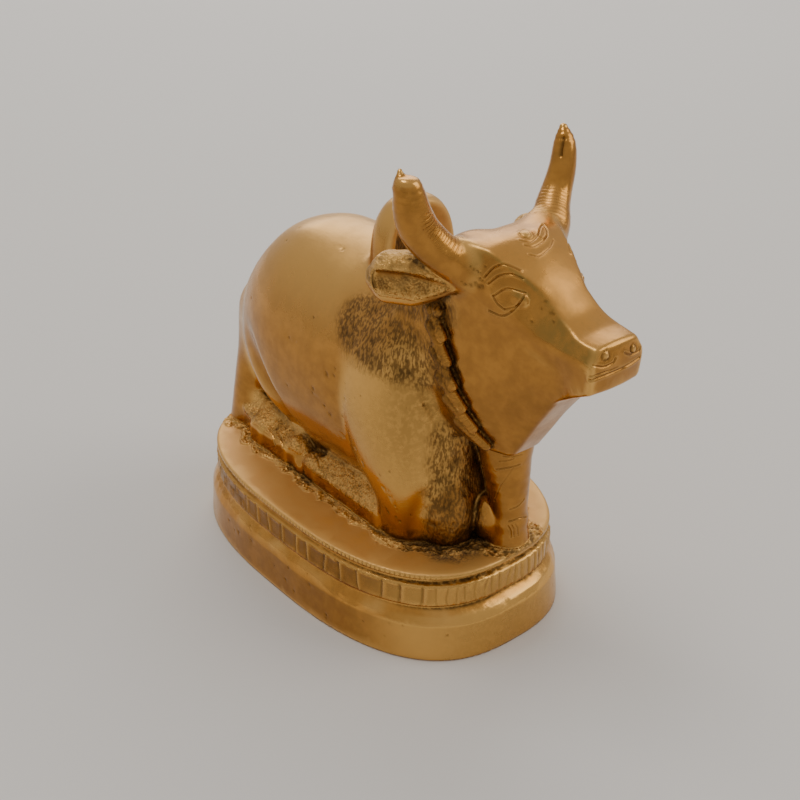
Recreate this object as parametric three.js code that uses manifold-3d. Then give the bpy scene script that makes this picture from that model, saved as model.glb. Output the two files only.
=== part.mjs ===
// A seated bull with a collar of twisted cord, cast in brass as one body with its oval plinth.
// Millimetres, +Z up. The muzzle points along +X, the raised left foreleg is on the +Y side,
// and the origin is the middle of the plinth's underside.
import * as THREE from 'three';
import { mergeVertices } from 'three/addons/utils/BufferGeometryUtils.js';
import { edgeTable, triTable } from 'three/addons/objects/MarchingCubes.js';
import Module from 'manifold-3d';

const wasm = await Module();
wasm.setup();

// Driving sizes of the casting.
const figureHeight = 85.8;      // plinth top to horn tips
const plinthLength = 90;        // top face, along X
const plinthWidth = 55.2;       // top face, along Y
const plinthHeight = 20.35;
const plinthFlare = 1.7;        // how far the foot stands out past the top face
const lipHeight = 1.15;         // rim under the top face
const grooveHeight = 1.6;       // each of the two grooves beside the band
const grooveDepth = 0.8;
const bandHeight = 5.1;
const ledgeHeight = 2.2;        // slope from the lower groove out to the foot
const notchPitch = 5.0;         // along the band
const notchWidth = 0.8;
const notchDepth = 0.6;
const ovalPower = 2.67;         // 2 is an ellipse, more is squarer

// The figure is drawn in units that are millimetres at this height, z from the plinth's top.
const drawnHeight = 85.8;
const unit = figureHeight / drawnHeight;
const figureLow = [-47, -30, -3];     // box that holds the whole figure, in figure units
const figureHigh = [73, 30, 88.5];
const sunk = 0.6;               // how far the figure reaches into the plinth, in figure units
const cell = 1.25;              // sampling step of the figure, in figure units
const smallestFace = 0.004;     // twice the area below which a face is merged away
const castingFaces = 9700;      // faces kept on the whole casting

// A smooth curve through the given stations, flat beyond the first and the last.
function curve(stations, values) {
  const last = stations.length - 1;
  const step = stations.slice(1).map((s, i) => s - stations[i]);
  const rise = step.map((h, i) => (values[i + 1] - values[i]) / h);
  const slope = values.map((_, i) => {
    if (i === 0) return rise[0];
    if (i === last) return rise[last - 1];
    const before = rise[i - 1];
    const after = rise[i];
    return before * after > 0 ? (2 * before * after) / (before + after) : 0;
  });
  return (v) => {
    const at = Math.min(Math.max(v, stations[0]), stations[last]);
    let i = 0;
    while (i < last - 1 && at >= stations[i + 1]) i++;
    const h = step[i];
    const t = (at - stations[i]) / h;
    const s = 1 - t;
    return (1 + 2 * t) * s * s * values[i] + t * s * s * h * slope[i]
      + t * t * (3 - 2 * t) * values[i + 1] - t * t * s * h * slope[i + 1];
  };
}

// Signed fields: negative inside. Two fields are joined, met or cut with a fillet of about k.
function join(a, b, k) {
  const h = Math.min(Math.max(0.5 + 0.5 * (b - a) / k, 0), 1);
  return b + (a - b) * h - k * h * (1 - h);
}
const meet = (a, b, k) => -join(-a, -b, k);
const cut = (a, b, k) => meet(a, -b, k);

// A tapered rod with round ends from a to b.
function bone(x, y, z, a, b, ra, rb) {
  const dx = b[0] - a[0];
  const dy = b[1] - a[1];
  const dz = b[2] - a[2];
  const along = ((x - a[0]) * dx + (y - a[1]) * dy + (z - a[2]) * dz) / (dx * dx + dy * dy + dz * dz);
  const t = Math.min(Math.max(along, 0), 1);
  return Math.hypot(x - a[0] - t * dx, y - a[1] - t * dy, z - a[2] - t * dz) - (ra + t * (rb - ra));
}

// An ellipsoid with centre c and half axes r.
function egg(x, y, z, c, r) {
  const u = (x - c[0]) / r[0];
  const v = (y - c[1]) / r[1];
  const w = (z - c[2]) / r[2];
  const k0 = Math.hypot(u, v, w);
  const k1 = Math.hypot(u / r[0], v / r[1], w / r[2]);
  return k0 * (k0 - 1) / Math.max(k1, 1e-6);
}

// An upright bar along the plan line from a to b, flat on top.
function bar(x, y, z, a, b, half, top, k) {
  const length = Math.hypot(b[0] - a[0], b[1] - a[1]);
  const dx = (b[0] - a[0]) / length;
  const dy = (b[1] - a[1]) / length;
  const along = (x - a[0]) * dx + (y - a[1]) * dy;
  const across = (y - a[1]) * dx - (x - a[0]) * dy;
  const sides = meet(Math.abs(across) - half, z - top, k);
  return meet(sides, Math.abs(along - length / 2) - length / 2 - half * 0.6, k);
}

// A tube of changing radius along a smooth path.
function tube(points, radii, steps) {
  const ids = points.map((_, i) => i);
  const path = [0, 1, 2].map((k) => curve(ids, points.map((p) => p[k])));
  const radius = curve(ids, radii);
  const nodes = [];
  for (let i = 0; i <= steps; i++) {
    const s = (i / steps) * (points.length - 1);
    nodes.push({ p: path.map((c) => c(s)), r: radius(s) });
  }
  return (x, y, z) => {
    let best = Infinity;
    for (let i = 0; i < steps; i++) {
      best = Math.min(best, bone(x, y, z, nodes[i].p, nodes[i + 1].p, nodes[i].r, nodes[i + 1].r));
    }
    return best;
  };
}

// The field of a small part inside its own box, and a far value outside it.
const far = 12;
function within(low, high, part) {
  return (x, y, z) => {
    if (x < low[0] || x > high[0] || y < low[1] || y > high[1] || z < low[2] || z > high[2]) return far;
    return part(x, y, z);
  };
}

// Barrel of the body: an upright egg with a steep rump.
const barrelWidth = curve([-44, -26, -8, 10, 34], [16.0, 18.4, 19.8, 19.2, 16.5]);
const barrelRise = curve([-44, -34, -22, -8, 8, 34], [17.0, 21.2, 26.2, 27.6, 26.3, 20.0]);
function barrel(x, y, z) {
  const middle = 30.6;
  const belly = 26.5;
  const height = z > middle ? barrelRise(x) : belly;
  const rump = 29.5 - 0.11 * Math.max(z - 29, 0);
  const end = x < -12 ? (-12 - x) / rump : Math.max(x - 6, 0) / 27.5;
  const g = Math.abs(y / barrelWidth(x)) ** 2.2 + Math.abs((z - middle) / height) ** 2.15 + end ** 2.1;
  return (g ** (1 / 2.15) - 1) * 18;
}

// Solid metal under the belly, between the legs.
const core = (x, y, z) => bar(x, y, z, [-33, 0], [17, 0], 10.5, 8.5, 3);

// Hollow between the belly and the haunch, on both sides.
const flankHollow = (x, y, z) => bone(x, Math.abs(y), z, [-25.5, 22.6, 30], [-14, 19, 9.5], 5.5, 8);

// Upright lobe over the shoulders, with a slightly sunk part in its flat front face.
function hump(x, y, z) {
  const up = Math.max(z - 53.5, 0);
  const across = Math.abs(y) / (y < 0 ? 8.6 : 10.2);
  const g = Math.abs((x - 12.4) / 6.8) ** 2.2 + across ** 2.3 + (up / 17.0) ** 3.2;
  const lobe = meet((g ** (1 / 2.4) - 1) * 8, x - 15.7, 0.5);
  const sunkFace = ((Math.abs((y + 3.4) / 3.6) ** 2.6 + (up / 13.6) ** 2.6) ** (1 / 2.6) - 1) * 3.6;
  const front = cut(lobe, Math.max(sunkFace, 15.25 - x), 0.3);
  return meet(front, 42 - z, 1);
}

const neck = (x, y, z) => bone(x, y * 1.05, z, [14, 0, 40.5], [36, 0, 56], 15, 10.8);

// Throat and dewlap: flat sides that close in from the collar to a narrow front.
const throatLevels = [25, 28, 34, 41.5, 48.5, 55.5, 63.5];
const collarWidth = curve(throatLevels, [5.6, 6.4, 9.0, 11.0, 11.5, 11.6, 11.0]);
const collarX = curve(throatLevels, [42, 41.3, 39.4, 37.5, 35.6, 34.0, 33.0]);
const frontLevels = [25, 31, 37.5, 44, 49.5, 57.5, 63.5];
const frontX = curve(frontLevels, [46.5, 50.5, 54.6, 59.2, 62.5, 62.5, 60]);
const frontWidth = curve(frontLevels, [3.8, 3.9, 4.1, 4.8, 5.4, 6.0, 6.0]);
function dewlap(x, y, z) {
  const side = Math.abs(y);
  const nx = collarWidth(z) - frontWidth(z);
  const ny = frontX(z) - collarX(z);
  const flat = ((x - collarX(z)) * nx + (side - collarWidth(z)) * ny) / Math.hypot(nx, ny);
  let f = meet(flat, x - frontX(z), 1);
  f = meet(f, side - collarWidth(z), 1.5);
  f = meet(f, 22 - x, 2);
  f = meet(f, 26.8 - z, 1.2);
  return meet(f, z - 62.5 + 0.38 * Math.max(x - 38, 0), 3);
}

// Head: a flat brow and nose, a slanting plane with the eye, and flat cheeks.
const headX = [36, 40, 44, 49, 53, 57, 61, 65, 69];
const browZ = curve(headX, [70.6, 71.1, 71.0, 69.0, 66.6, 63.5, 60.9, 59.4, 59.1]);
const browWidth = curve(headX, [9.5, 9.6, 9.4, 7.9, 6.1, 4.9, 4.9, 5.5, 5.2]);
const browCrown = curve(headX, [-0.3, 0.4, 0.9, 1.0, 0.9, 0.7, 0.5, 0.5, 0.4]);
const cheekZ = curve(headX, [65.2, 65.0, 64.0, 61.6, 58.9, 56.8, 56.3, 56.1, 56.0]);
const cheekWidth = curve(headX, [12.0, 11.8, 11.0, 9.7, 8.4, 7.3, 6.9, 6.9, 7.0]);
const jawZ = curve(headX, [38, 39, 40, 41, 41.5, 43.2, 45.6, 48.2, 50.4]);
const jawWidth = curve(headX, [9.3, 8.6, 7.9, 6.6, 5.4, 4.7, 5.0, 6.0, 6.6]);
function head(x, y, z) {
  const side = Math.abs(y);
  const top = z - browZ(x) - browCrown(x) * (1 - (side / browWidth(x)) ** 2);
  const bx = browZ(x) - cheekZ(x);
  const bz = cheekWidth(x) - browWidth(x);
  const slant = ((side - browWidth(x)) * bx + (z - browZ(x)) * bz) / Math.hypot(bx, bz);
  const cx = cheekZ(x) - jawZ(x);
  const cz = jawWidth(x) - cheekWidth(x);
  const cheek = ((side - cheekWidth(x)) * cx + (z - cheekZ(x)) * cz) / Math.hypot(cx, cz);
  const muzzle = x - 69.9 + 0.012 * side ** 2 + 0.1 * Math.max(z - 55.5, 0) ** 1.5
    + 0.05 * Math.max(54.5 - z, 0) ** 1.3;
  let f = meet(top, slant, 0.6);
  f = meet(f, cheek, 0.6);
  f = meet(f, jawZ(x) - z, 1);
  f = meet(f, muzzle, 0.8);
  return meet(f, 35 - x, 3);
}

// Horns: the left one whole, the right one ending in a worn break with a spike left at its outer edge.
const leftHornPath = [
  [40.5, 9.5, 66.6], [39.0, 12.6, 69.0], [37.2, 14.9, 71.5], [36.0, 17.2, 74.6],
  [35.5, 18.8, 78.4], [34.7, 19.8, 82.2], [33.6, 20.4, 85.5],
];
const rightHornPath = [
  [39.3, 10.4, 66.6], [38.1, 13.3, 69.0], [36.4, 15.7, 71.8], [35.4, 17.7, 75.0],
  [35.2, 18.9, 78.6], [35.0, 19.4, 82.2], [34.6, 19.8, 85.6],
];
const hornSteps = 18;
const hornLow = [25, 2, 57];
const hornHigh = [50, 30, 95];
const leftHorn = within(hornLow, hornHigh, tube(leftHornPath, [4.2, 3.85, 3.4, 2.95, 2.6, 2.2, 0.85], hornSteps));
const wholeRightHorn = tube(rightHornPath, [3.7, 3.65, 3.75, 3.7, 3.3, 2.65, 1.95], hornSteps);
const rightHorn = within(hornLow, hornHigh, (x, y, z) => {
  const stub = meet(wholeRightHorn(x, y, z), z - 84.7, 1.4);
  return join(stub, bone(x, y, z, [34.1, 20.1, 82.6], [33.1, 19.8, 85.5], 1.8, 0.45), 0.5);
});
const horns = (x, y, z) => Math.min(leftHorn(x, y, z), rightHorn(x, -y, z));

// Ear: a thick leaf with a blunt tip and a wedge-shaped hollow that faces forward.
const earTurn = 2.6;
const earSquash = 1.6;
const earHalf = curve([-9.5, -5, 0, 5, 8.5], [1.6, 3.6, 5.2, 5.2, 3.6]);
const earLow = [18, 7, 52];
const earHigh = [46, 27, 73];
function ear(centre) {
  return within(earLow, earHigh, (x, y, z) => {
    const u = x - centre[0];
    const v = y - centre[1];
    const along = u * Math.cos(earTurn) + v * Math.sin(earTurn);
    const back = v * Math.cos(earTurn) - u * Math.sin(earTurn);
    const up = z - centre[2] + 0.04 * along;
    const half = earHalf(along);
    const g = Math.abs((up - 0.3) / half) ** 2.4 + Math.abs(back / (half * 0.55 + 0.6)) ** 2.4
      + Math.abs(along / 9.2) ** 5;
    const leaf = (g ** (1 / 2.4) - 1) * 3;
    const deep = earSquash * back;
    const tip = bone(along, deep, up, [5.0, -5.2, 0.4], [-2.0, -5.5, 0.3], 2.4, 2.5);
    const root = bone(along, deep, up, [-2.0, -5.5, 0.3], [-8.2, -3.2, 0.0], 2.5, 0.4);
    const recess = bone(along, deep, up, [0.6, -4.3, 1.0], [-6.5, -3.6, 0.4], 1.5, 0.5);
    return cut(leaf, Math.min(tip, root, recess), 0.3);
  });
}
const leftEar = ear([32.6, 14.9, 61.6]);
const rightEar = ear([32.2, 16.0, 62.8]);
const ears = (x, y, z) => Math.min(leftEar(x, y, z), rightEar(x, -y, z));

// Right shoulder and folded foreleg: broad above, narrowing to the knee on the plinth.
const shoulderX = curve([0, 8, 17, 28, 40, 58], [22.6, 23.6, 21.4, 19.0, 17.0, 15.0]);
const shoulderLength = curve([0, 8, 17, 28, 40, 58], [6.8, 7.0, 10.8, 12.6, 13.5, 12.0]);
const shoulderWidth = curve([0, 5, 10, 18, 28, 38, 48, 58], [7.0, 7.6, 8.6, 10.4, 11.4, 10.2, 6.5, 2.0]);
function forequarter(x, y, z) {
  const g = Math.abs((x - shoulderX(z)) / shoulderLength(z)) ** 2.5
    + Math.abs((y + 8) / shoulderWidth(z)) ** 2.5;
  return meet((g ** (1 / 2.5) - 1) * 7, z - 50, 8);
}

// A leg along the plinth from a to b in plan: an upright outer face, and a top that rises inwards.
function lyingLeg(x, side, z, a, b, half, top, rise) {
  const length = Math.hypot(b[0] - a[0], b[1] - a[1]);
  const dx = (b[0] - a[0]) / length;
  const dy = (b[1] - a[1]) / length;
  const along = (x - a[0]) * dx + (side - a[1]) * dy;
  const outwards = (side - a[1]) * dx - (x - a[0]) * dy;
  const above = (z - top - rise * (half - outwards)) / Math.hypot(1, rise);
  const f = meet(Math.abs(outwards) - half, above, 1.1);
  return meet(f, Math.abs(along - length / 2) - length / 2 - half * 0.6, 1.1);
}

function foldedCannon(x, y, z) {
  const leg = lyingLeg(x, -y, z, [-1.5, 12.1], [19, 12.3], 3.3, 3.8, 0.8);
  const hoof = egg(x, y, z, [-5.2, -12.4, 2.2], [4.6, 3.3, 3.8]);
  const link = egg(x, y, z, [-9.4, -12.2, 1.2], [3.4, 3.4, 3.2]);
  return join(join(leg, hoof, 1), link, 0.6);
}

// Chest, its lump between the forelegs, and the solid metal behind and under it.
function chest(x, y, z) {
  const front = egg(x, y, z, [22, 0, 19.6], [12.4, 12, 23]);
  const lump = egg(x, y, z, [30.5, -4.5, 6], [6, 6.5, 11]);
  const web = egg(x, y, z, [31, 4.5, 9], [5.2, 6.5, 14]);
  const under = egg(x, y, z, [12, -4, 0], [14, 9, 9]);
  return join(join(join(front, lump, 3), web, 2), under, 3);
}

// Left foreleg: the forearm reaches forward, the shin stands under the dewlap on its hoof.
const shinPath = [[39.2, 2.9, 26], [39.5, 3.2, 20], [39.9, 3.7, 13], [39.9, 4, 6.6]];
const shin = tube(shinPath, [5.8, 5.3, 4.5, 4.0], 9);
const footLow = [24, -12, -4];
const footHigh = [54, 18, 42];
const foot = within(footLow, footHigh, (x, y, z) => {
  const hoof = bone(x, y, z, [39.7, 4.2, 4.5], [39.5, 4.3, 0], 4.3, 5.0);
  const heel = egg(x, y, z, [36.9, 1.5, 5.2], [3.9, 3.6, 5.8]);
  return join(join(shin(x, y, z), hoof, 1.5), heel, 0.7);
});
function raisedLeg(x, y, z) {
  const arm = bone(x, y, z, [17, 10.5, 28], [38.8, 4.2, 24.6], 9.6, 5.0);
  return join(foot(x, y, z), arm, 2);
}

const leftShoulder = (x, y, z) => egg(x, y, z, [16, 8.6, 27], [13, 10.6, 20]);

// Haunch ridge at the rump, and the hind leg that lies forward along the plinth.
function haunch(x, y, z) {
  const side = Math.abs(y);
  const upper = bone(x, side, z, [-34.0, 6.2, 31.0], [-36.6, 6.6, 17.6], 5.2, 5.2);
  const lower = bone(x, side, z, [-36.6, 6.6, 17.6], [-39.2, 7.8, 0], 5.2, 5.4);
  return Math.min(upper, lower);
}
function hindLeg(x, y, z) {
  const side = Math.abs(y);
  const shank = lyingLeg(x, side, z, [-39, 8.2], [-25.5, 11.8], 3.4, 5.0, 0.5);
  const cannon = lyingLeg(x, side, z, [-27.5, 11.9], [-15.5, 12.1], 3.3, 4.9, 0.5);
  return join(join(shank, cannon, 1), egg(x, side, z, [-12.8, 12.0, 2.6], [4.4, 3.3, 4.4]), 0.8);
}

// Tail: down the rump, then round the left hock to its tuft.
const tailPath = [
  [-34.2, 0, 43], [-39.6, 0.8, 37], [-42.0, 2.2, 24], [-42.6, 5, 11], [-40, 11.5, 4],
  [-33, 16.2, 2.8], [-27, 17.6, 2.8],
];
const tailTube = tube(tailPath, [1.3, 1.6, 1.6, 1.6, 1.7, 2.5, 1.0], 18);
const tailLow = [-50, -8, -3];
const tailHigh = [-18, 26, 52];
const tail = within(tailLow, tailHigh, tailTube);

// Collar: short slanting strands, each laid over the next, round the neck to the raised knee.
const collarPath = [
  [28.6, 0, 63.4], [29.8, 5.5, 62.6], [31.6, 10.2, 59.6], [34.0, 12.4, 55.8],
  [36.0, 12.5, 49.2], [38.0, 11.9, 42.0], [40.3, 10.1, 35.2], [42.8, 7.0, 28.4],
];
const strandPitch = 5.0;
const strandReach = 6.6;
const strandRadii = [1.5, 1.05];
const strandSlant = 1.05;       // how far a strand runs to each side of the collar's line
function collarStrands() {
  const line = new THREE.CatmullRomCurve3(collarPath.map((p) => new THREE.Vector3(...p)));
  const length = line.getLength();
  const strands = [];
  for (let s = 0; s < length - strandPitch / 2; s += strandPitch) {
    const from = line.getPointAt(Math.max(s - 1, 0) / length);
    const to = line.getPointAt(Math.min(s + strandReach, length) / length);
    const out = s > 14 ? new THREE.Vector3(0.25, 1, 0.35) : new THREE.Vector3(0, 0.4, 1);
    const side = to.clone().sub(from).cross(out).normalize().multiplyScalar(strandSlant);
    strands.push([from.sub(side).toArray(), to.add(side).toArray()]);
  }
  return strands;
}
const strands = collarStrands();
const collarLow = [24, -1, 24];
const collarHigh = [47, 18, 68];
const halfCollar = within(collarLow, collarHigh, (x, y, z) => {
  let best = far;
  for (const [a, b] of strands) best = Math.min(best, bone(x, y, z, a, b, ...strandRadii));
  return best;
});
const collar = (x, y, z) => halfCollar(x, Math.abs(y), z);

const hornRoot = (x, y, z) => egg(x, y, z, [37.5, -5.2, 69.0], [4.5, 5.5, 2.2]);
const foreheadBoss = (x, y, z) => egg(x, y, z, [44.4, 0.3, 71.3], [1.6, 1.5, 0.9]);
const eyeball = (x, y, z) => egg(x, Math.abs(y), z, [50.6, 7.0, 63.3], [3.0, 1.35, 1.9]);

// Head, horns, throat, eyes, the boss on the forehead and the swelling at the right horn's root.
const faceLow = [14, -35, 14];
const faceHigh = [80, 35, 95];
const face = within(faceLow, faceHigh, (x, y, z) => {
  let f = join(dewlap(x, y, z), head(x, y, z), 0.6);
  f = join(f, hornRoot(x, y, z), 0.8);
  f = join(f, horns(x, y, z), 3.2);
  f = join(f, eyeball(x, y, z), 0.4);
  return join(f, foreheadBoss(x, y, z), 0.4);
});

function figure(x, y, z) {
  let f = cut(barrel(x, y, z), flankHollow(x, y, z), 2.5);
  f = join(f, core(x, y, z), 1.5);
  f = join(f, haunch(x, y, z), 3);
  f = join(f, hindLeg(x, y, z), 1.2);
  f = join(f, forequarter(x, y, z), 0.7);
  f = join(f, leftShoulder(x, y, z), 4);
  f = join(f, neck(x, y, z), 5);
  f = join(f, hump(x, y, z), 1.2);
  f = join(f, chest(x, y, z), 3);
  f = join(f, foldedCannon(x, y, z), 0.8);
  f = join(f, tail(x, y, z), 0.8);
  f = join(f, face(x, y, z), 2);
  f = join(f, collar(x, y, z), 0.3);
  f = join(f, ears(x, y, z), 0.8);
  f = join(f, raisedLeg(x, y, z), 0.8);
  return Math.max(f, -sunk - z);
}

// Samples a field on a grid and returns the closed skin where it is zero.
function skin(field, low, high, step) {
  const count = low.map((v, k) => Math.ceil((high[k] - v) / step) + 1);
  const id = (i, j, k) => (k * count[1] + j) * count[0] + i;
  const at = [0, 1, 2].map((k) => (i) => low[k] + i * step);
  const samples = new Float64Array(count[0] * count[1] * count[2]);
  for (let k = 0; k < count[2]; k++) {
    for (let j = 0; j < count[1]; j++) {
      for (let i = 0; i < count[0]; i++) {
        const f = field(at[0](i), at[1](j), at[2](k));
        samples[id(i, j, k)] = Math.abs(f) < 1e-4 ? 1e-4 : f;
      }
    }
  }
  const corners = [[0, 0, 0], [1, 0, 0], [1, 1, 0], [0, 1, 0], [0, 0, 1], [1, 0, 1], [1, 1, 1], [0, 1, 1]];
  const edges = [[0, 1], [1, 2], [3, 2], [0, 3], [4, 5], [5, 6], [7, 6], [4, 7], [0, 4], [1, 5], [2, 6], [3, 7]];
  const known = new Map();
  const points = [];
  const faces = [];
  const crossing = (cornerA, cornerB) => {
    const a = id(...cornerA);
    const b = id(...cornerB);
    const key = a * samples.length + b;
    if (!known.has(key)) {
      const t = samples[a] / (samples[a] - samples[b]);
      known.set(key, points.length);
      points.push(cornerA.map((c, k) => at[k](c + t * (cornerB[k] - c))));
    }
    return known.get(key);
  };
  for (let k = 0; k < count[2] - 1; k++) {
    for (let j = 0; j < count[1] - 1; j++) {
      for (let i = 0; i < count[0] - 1; i++) {
        let kind = 0;
        corners.forEach(([a, b, c], n) => {
          if (samples[id(i + a, j + b, k + c)] < 0) kind |= 1 << n;
        });
        if (edgeTable[kind] === 0) continue;
        for (let n = kind * 16; triTable[n] !== -1; n += 3) {
          faces.push([0, 1, 2].map((m) => {
            const [a, b] = edges[triTable[n + m]].map((c) => corners[c].map((v, q) => v + [i, j, k][q]));
            return crossing(a, b);
          }));
        }
      }
    }
  }
  return { points, faces };
}

// Twice the signed volume under a face list, to tell which way the faces point.
function turnsInward({ points, faces }) {
  let volume = 0;
  const [a, b, c] = [new THREE.Vector3(), new THREE.Vector3(), new THREE.Vector3()];
  for (const face of faces) {
    a.fromArray(points[face[0]]);
    b.fromArray(points[face[1]]);
    c.fromArray(points[face[2]]);
    volume += a.dot(b.cross(c));
  }
  return volume < 0;
}

// Merges the edges that matter least, by quadric error, until few enough faces are left.
function thin({ points, faces }, wanted) {
  const around = points.map(() => new Set());
  faces.forEach((face, f) => face.forEach((v) => around[v].add(f)));
  const normal = (p, q, r) => {
    const u = [q[0] - p[0], q[1] - p[1], q[2] - p[2]];
    const v = [r[0] - p[0], r[1] - p[1], r[2] - p[2]];
    return [u[1] * v[2] - u[2] * v[1], u[2] * v[0] - u[0] * v[2], u[0] * v[1] - u[1] * v[0]];
  };
  const quadric = points.map(() => new Float64Array(10));
  for (const face of faces) {
    const [p, q, r] = face.map((v) => points[v]);
    const n = normal(p, q, r);
    const size = Math.hypot(...n) || 1e-12;
    const [a, b, c] = n.map((v) => v / size);
    const d = -(a * p[0] + b * p[1] + c * p[2]);
    const terms = [a * a, a * b, a * c, a * d, b * b, b * c, b * d, c * c, c * d, d * d];
    face.forEach((v) => terms.forEach((t, i) => { quadric[v][i] += t * size; }));
  }
  const error = (q, [x, y, z]) => q[0] * x * x + 2 * q[1] * x * y + 2 * q[2] * x * z + 2 * q[3] * x
    + q[4] * y * y + 2 * q[5] * y * z + 2 * q[6] * y + q[7] * z * z + 2 * q[8] * z + q[9];
  const best = (u, v) => {
    const q = quadric[u].map((t, i) => t + quadric[v][i]);
    const m = new THREE.Matrix3().set(q[0], q[1], q[2], q[1], q[4], q[5], q[2], q[5], q[7]);
    const middle = points[u].map((c, k) => (c + points[v][k]) / 2);
    const reach = Math.hypot(...points[u].map((c, k) => c - points[v][k]));
    const places = [middle, points[u], points[v]];
    if (Math.abs(m.determinant()) > 1e-9) {
      const solved = new THREE.Vector3(-q[3], -q[6], -q[8]).applyMatrix3(m.invert()).toArray();
      if (Math.hypot(...solved.map((c, k) => c - middle[k])) < reach) places.push(solved);
    }
    const costs = places.map((place) => Math.max(error(q, place), 0));
    const cost = Math.min(...costs);
    return { place: places[costs.indexOf(cost)], cost: cost + 1e-7 * reach * reach };
  };
  const heap = [];
  const swap = (i, j) => { [heap[i], heap[j]] = [heap[j], heap[i]]; };
  const push = (item) => {
    heap.push(item);
    for (let i = heap.length - 1; i > 0;) {
      const parent = (i - 1) >> 1;
      if (heap[parent].cost <= heap[i].cost) break;
      swap(i, parent);
      i = parent;
    }
  };
  const pop = () => {
    swap(0, heap.length - 1);
    const item = heap.pop();
    for (let i = 0; ;) {
      const left = 2 * i + 1;
      const right = left + 1;
      let small = i;
      if (left < heap.length && heap[left].cost < heap[small].cost) small = left;
      if (right < heap.length && heap[right].cost < heap[small].cost) small = right;
      if (small === i) break;
      swap(i, small);
      i = small;
    }
    return item;
  };
  const stamp = new Uint32Array(points.length);
  const neighbours = (v) => {
    const ring = new Set();
    for (const f of around[v]) faces[f].forEach((w) => ring.add(w));
    ring.delete(v);
    return ring;
  };
  const offer = (u, v) => push({ u, v, su: stamp[u], sv: stamp[v], ...best(u, v) });
  points.forEach((_, u) => neighbours(u).forEach((v) => { if (u < v) offer(u, v); }));
  const folds = (v, other, place) => {
    for (const f of around[v]) {
      if (faces[f].includes(other)) continue;
      const before = normal(...faces[f].map((w) => points[w]));
      const after = normal(...faces[f].map((w) => (w === v ? place : points[w])));
      const dot = before[0] * after[0] + before[1] * after[1] + before[2] * after[2];
      const [old, now] = [Math.hypot(...before), Math.hypot(...after)];
      if (now < 0.5 * smallestFace && now < old) return true;
      if (old > smallestFace && dot < 0.2 * old * now) return true;
    }
    return false;
  };
  let left = faces.length;
  while (left > wanted && heap.length) {
    const { u, v, su, sv, place } = pop();
    if (stamp[u] !== su || stamp[v] !== sv) continue;
    const ringV = neighbours(v);
    const shared = [...neighbours(u)].filter((w) => ringV.has(w));
    if (shared.length !== 2 || folds(u, v, place) || folds(v, u, place)) continue;
    for (const f of around[v]) {
      if (faces[f].includes(u)) {
        faces[f].forEach((w) => { if (w !== v) around[w].delete(f); });
        faces[f] = null;
        left--;
      } else {
        faces[f] = faces[f].map((w) => (w === v ? u : w));
        around[u].add(f);
      }
    }
    around[v] = new Set();
    points[u] = place;
    quadric[u] = quadric[u].map((t, i) => t + quadric[v][i]);
    stamp[u]++;
    stamp[v]++;
    neighbours(u).forEach((w) => offer(u, w));
  }
  return packed(points, faces.filter((face) => face));
}

// Drops the points that no face uses.
function packed(points, faces) {
  const place = new Map();
  faces.flat().forEach((v) => { if (!place.has(v)) place.set(v, place.size); });
  return {
    points: [...place.keys()].map((v) => points[v]),
    faces: faces.map((face) => face.map((v) => place.get(v))),
  };
}

// The figure as a solid, scaled and lifted onto the plinth.
function figureSolid() {
  const mesh = skin(figure, figureLow, figureHigh, cell);
  const flip = turnsInward(mesh);
  const { points, faces } = mesh;
  const geometry = new THREE.BufferGeometry();
  geometry.setAttribute('position', new THREE.Float32BufferAttribute(points.flat(), 3));
  geometry.setIndex(faces.flatMap(([a, b, c]) => (flip ? [a, c, b] : [a, b, c])));
  geometry.scale(unit, unit, unit);
  geometry.translate(0, 0, plinthHeight);
  return solid(geometry);
}

// A closed geometry as a solid that can be joined and cut.
function solid(geometry) {
  geometry.deleteAttribute('normal');
  geometry.deleteAttribute('uv');
  const merged = mergeVertices(geometry, 1e-4);
  const mesh = new wasm.Mesh({
    numProp: 3,
    vertProperties: new Float32Array(merged.attributes.position.array),
    triVerts: new Uint32Array(merged.index.array),
  });
  return new wasm.Manifold(mesh);
}

// A solid's skin, with the faces that matter least merged away.
function asGeometry(manifold) {
  const mesh = manifold.getMesh();
  const points = [];
  const faces = [];
  for (let i = 0; i < mesh.vertProperties.length; i += 3) {
    points.push([...mesh.vertProperties.slice(i, i + 3)]);
  }
  for (let i = 0; i < mesh.triVerts.length; i += 3) faces.push([...mesh.triVerts.slice(i, i + 3)]);
  const kept = thin({ points, faces }, castingFaces);
  const geometry = new THREE.BufferGeometry();
  geometry.setAttribute('position', new THREE.Float32BufferAttribute(kept.points.flat(), 3));
  geometry.setIndex(kept.faces.flat());
  return geometry;
}

// A point of the plinth's oval, grown outwards by an offset, for a turn t in radians.
function ovalPoint(t, offset) {
  const c = Math.cos(t);
  const s = Math.sin(t);
  const bend = 2 / ovalPower;
  return [
    (plinthLength / 2 + offset) * Math.sign(c) * Math.abs(c) ** bend,
    (plinthWidth / 2 + offset) * Math.sign(s) * Math.abs(s) ** bend,
  ];
}

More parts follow.
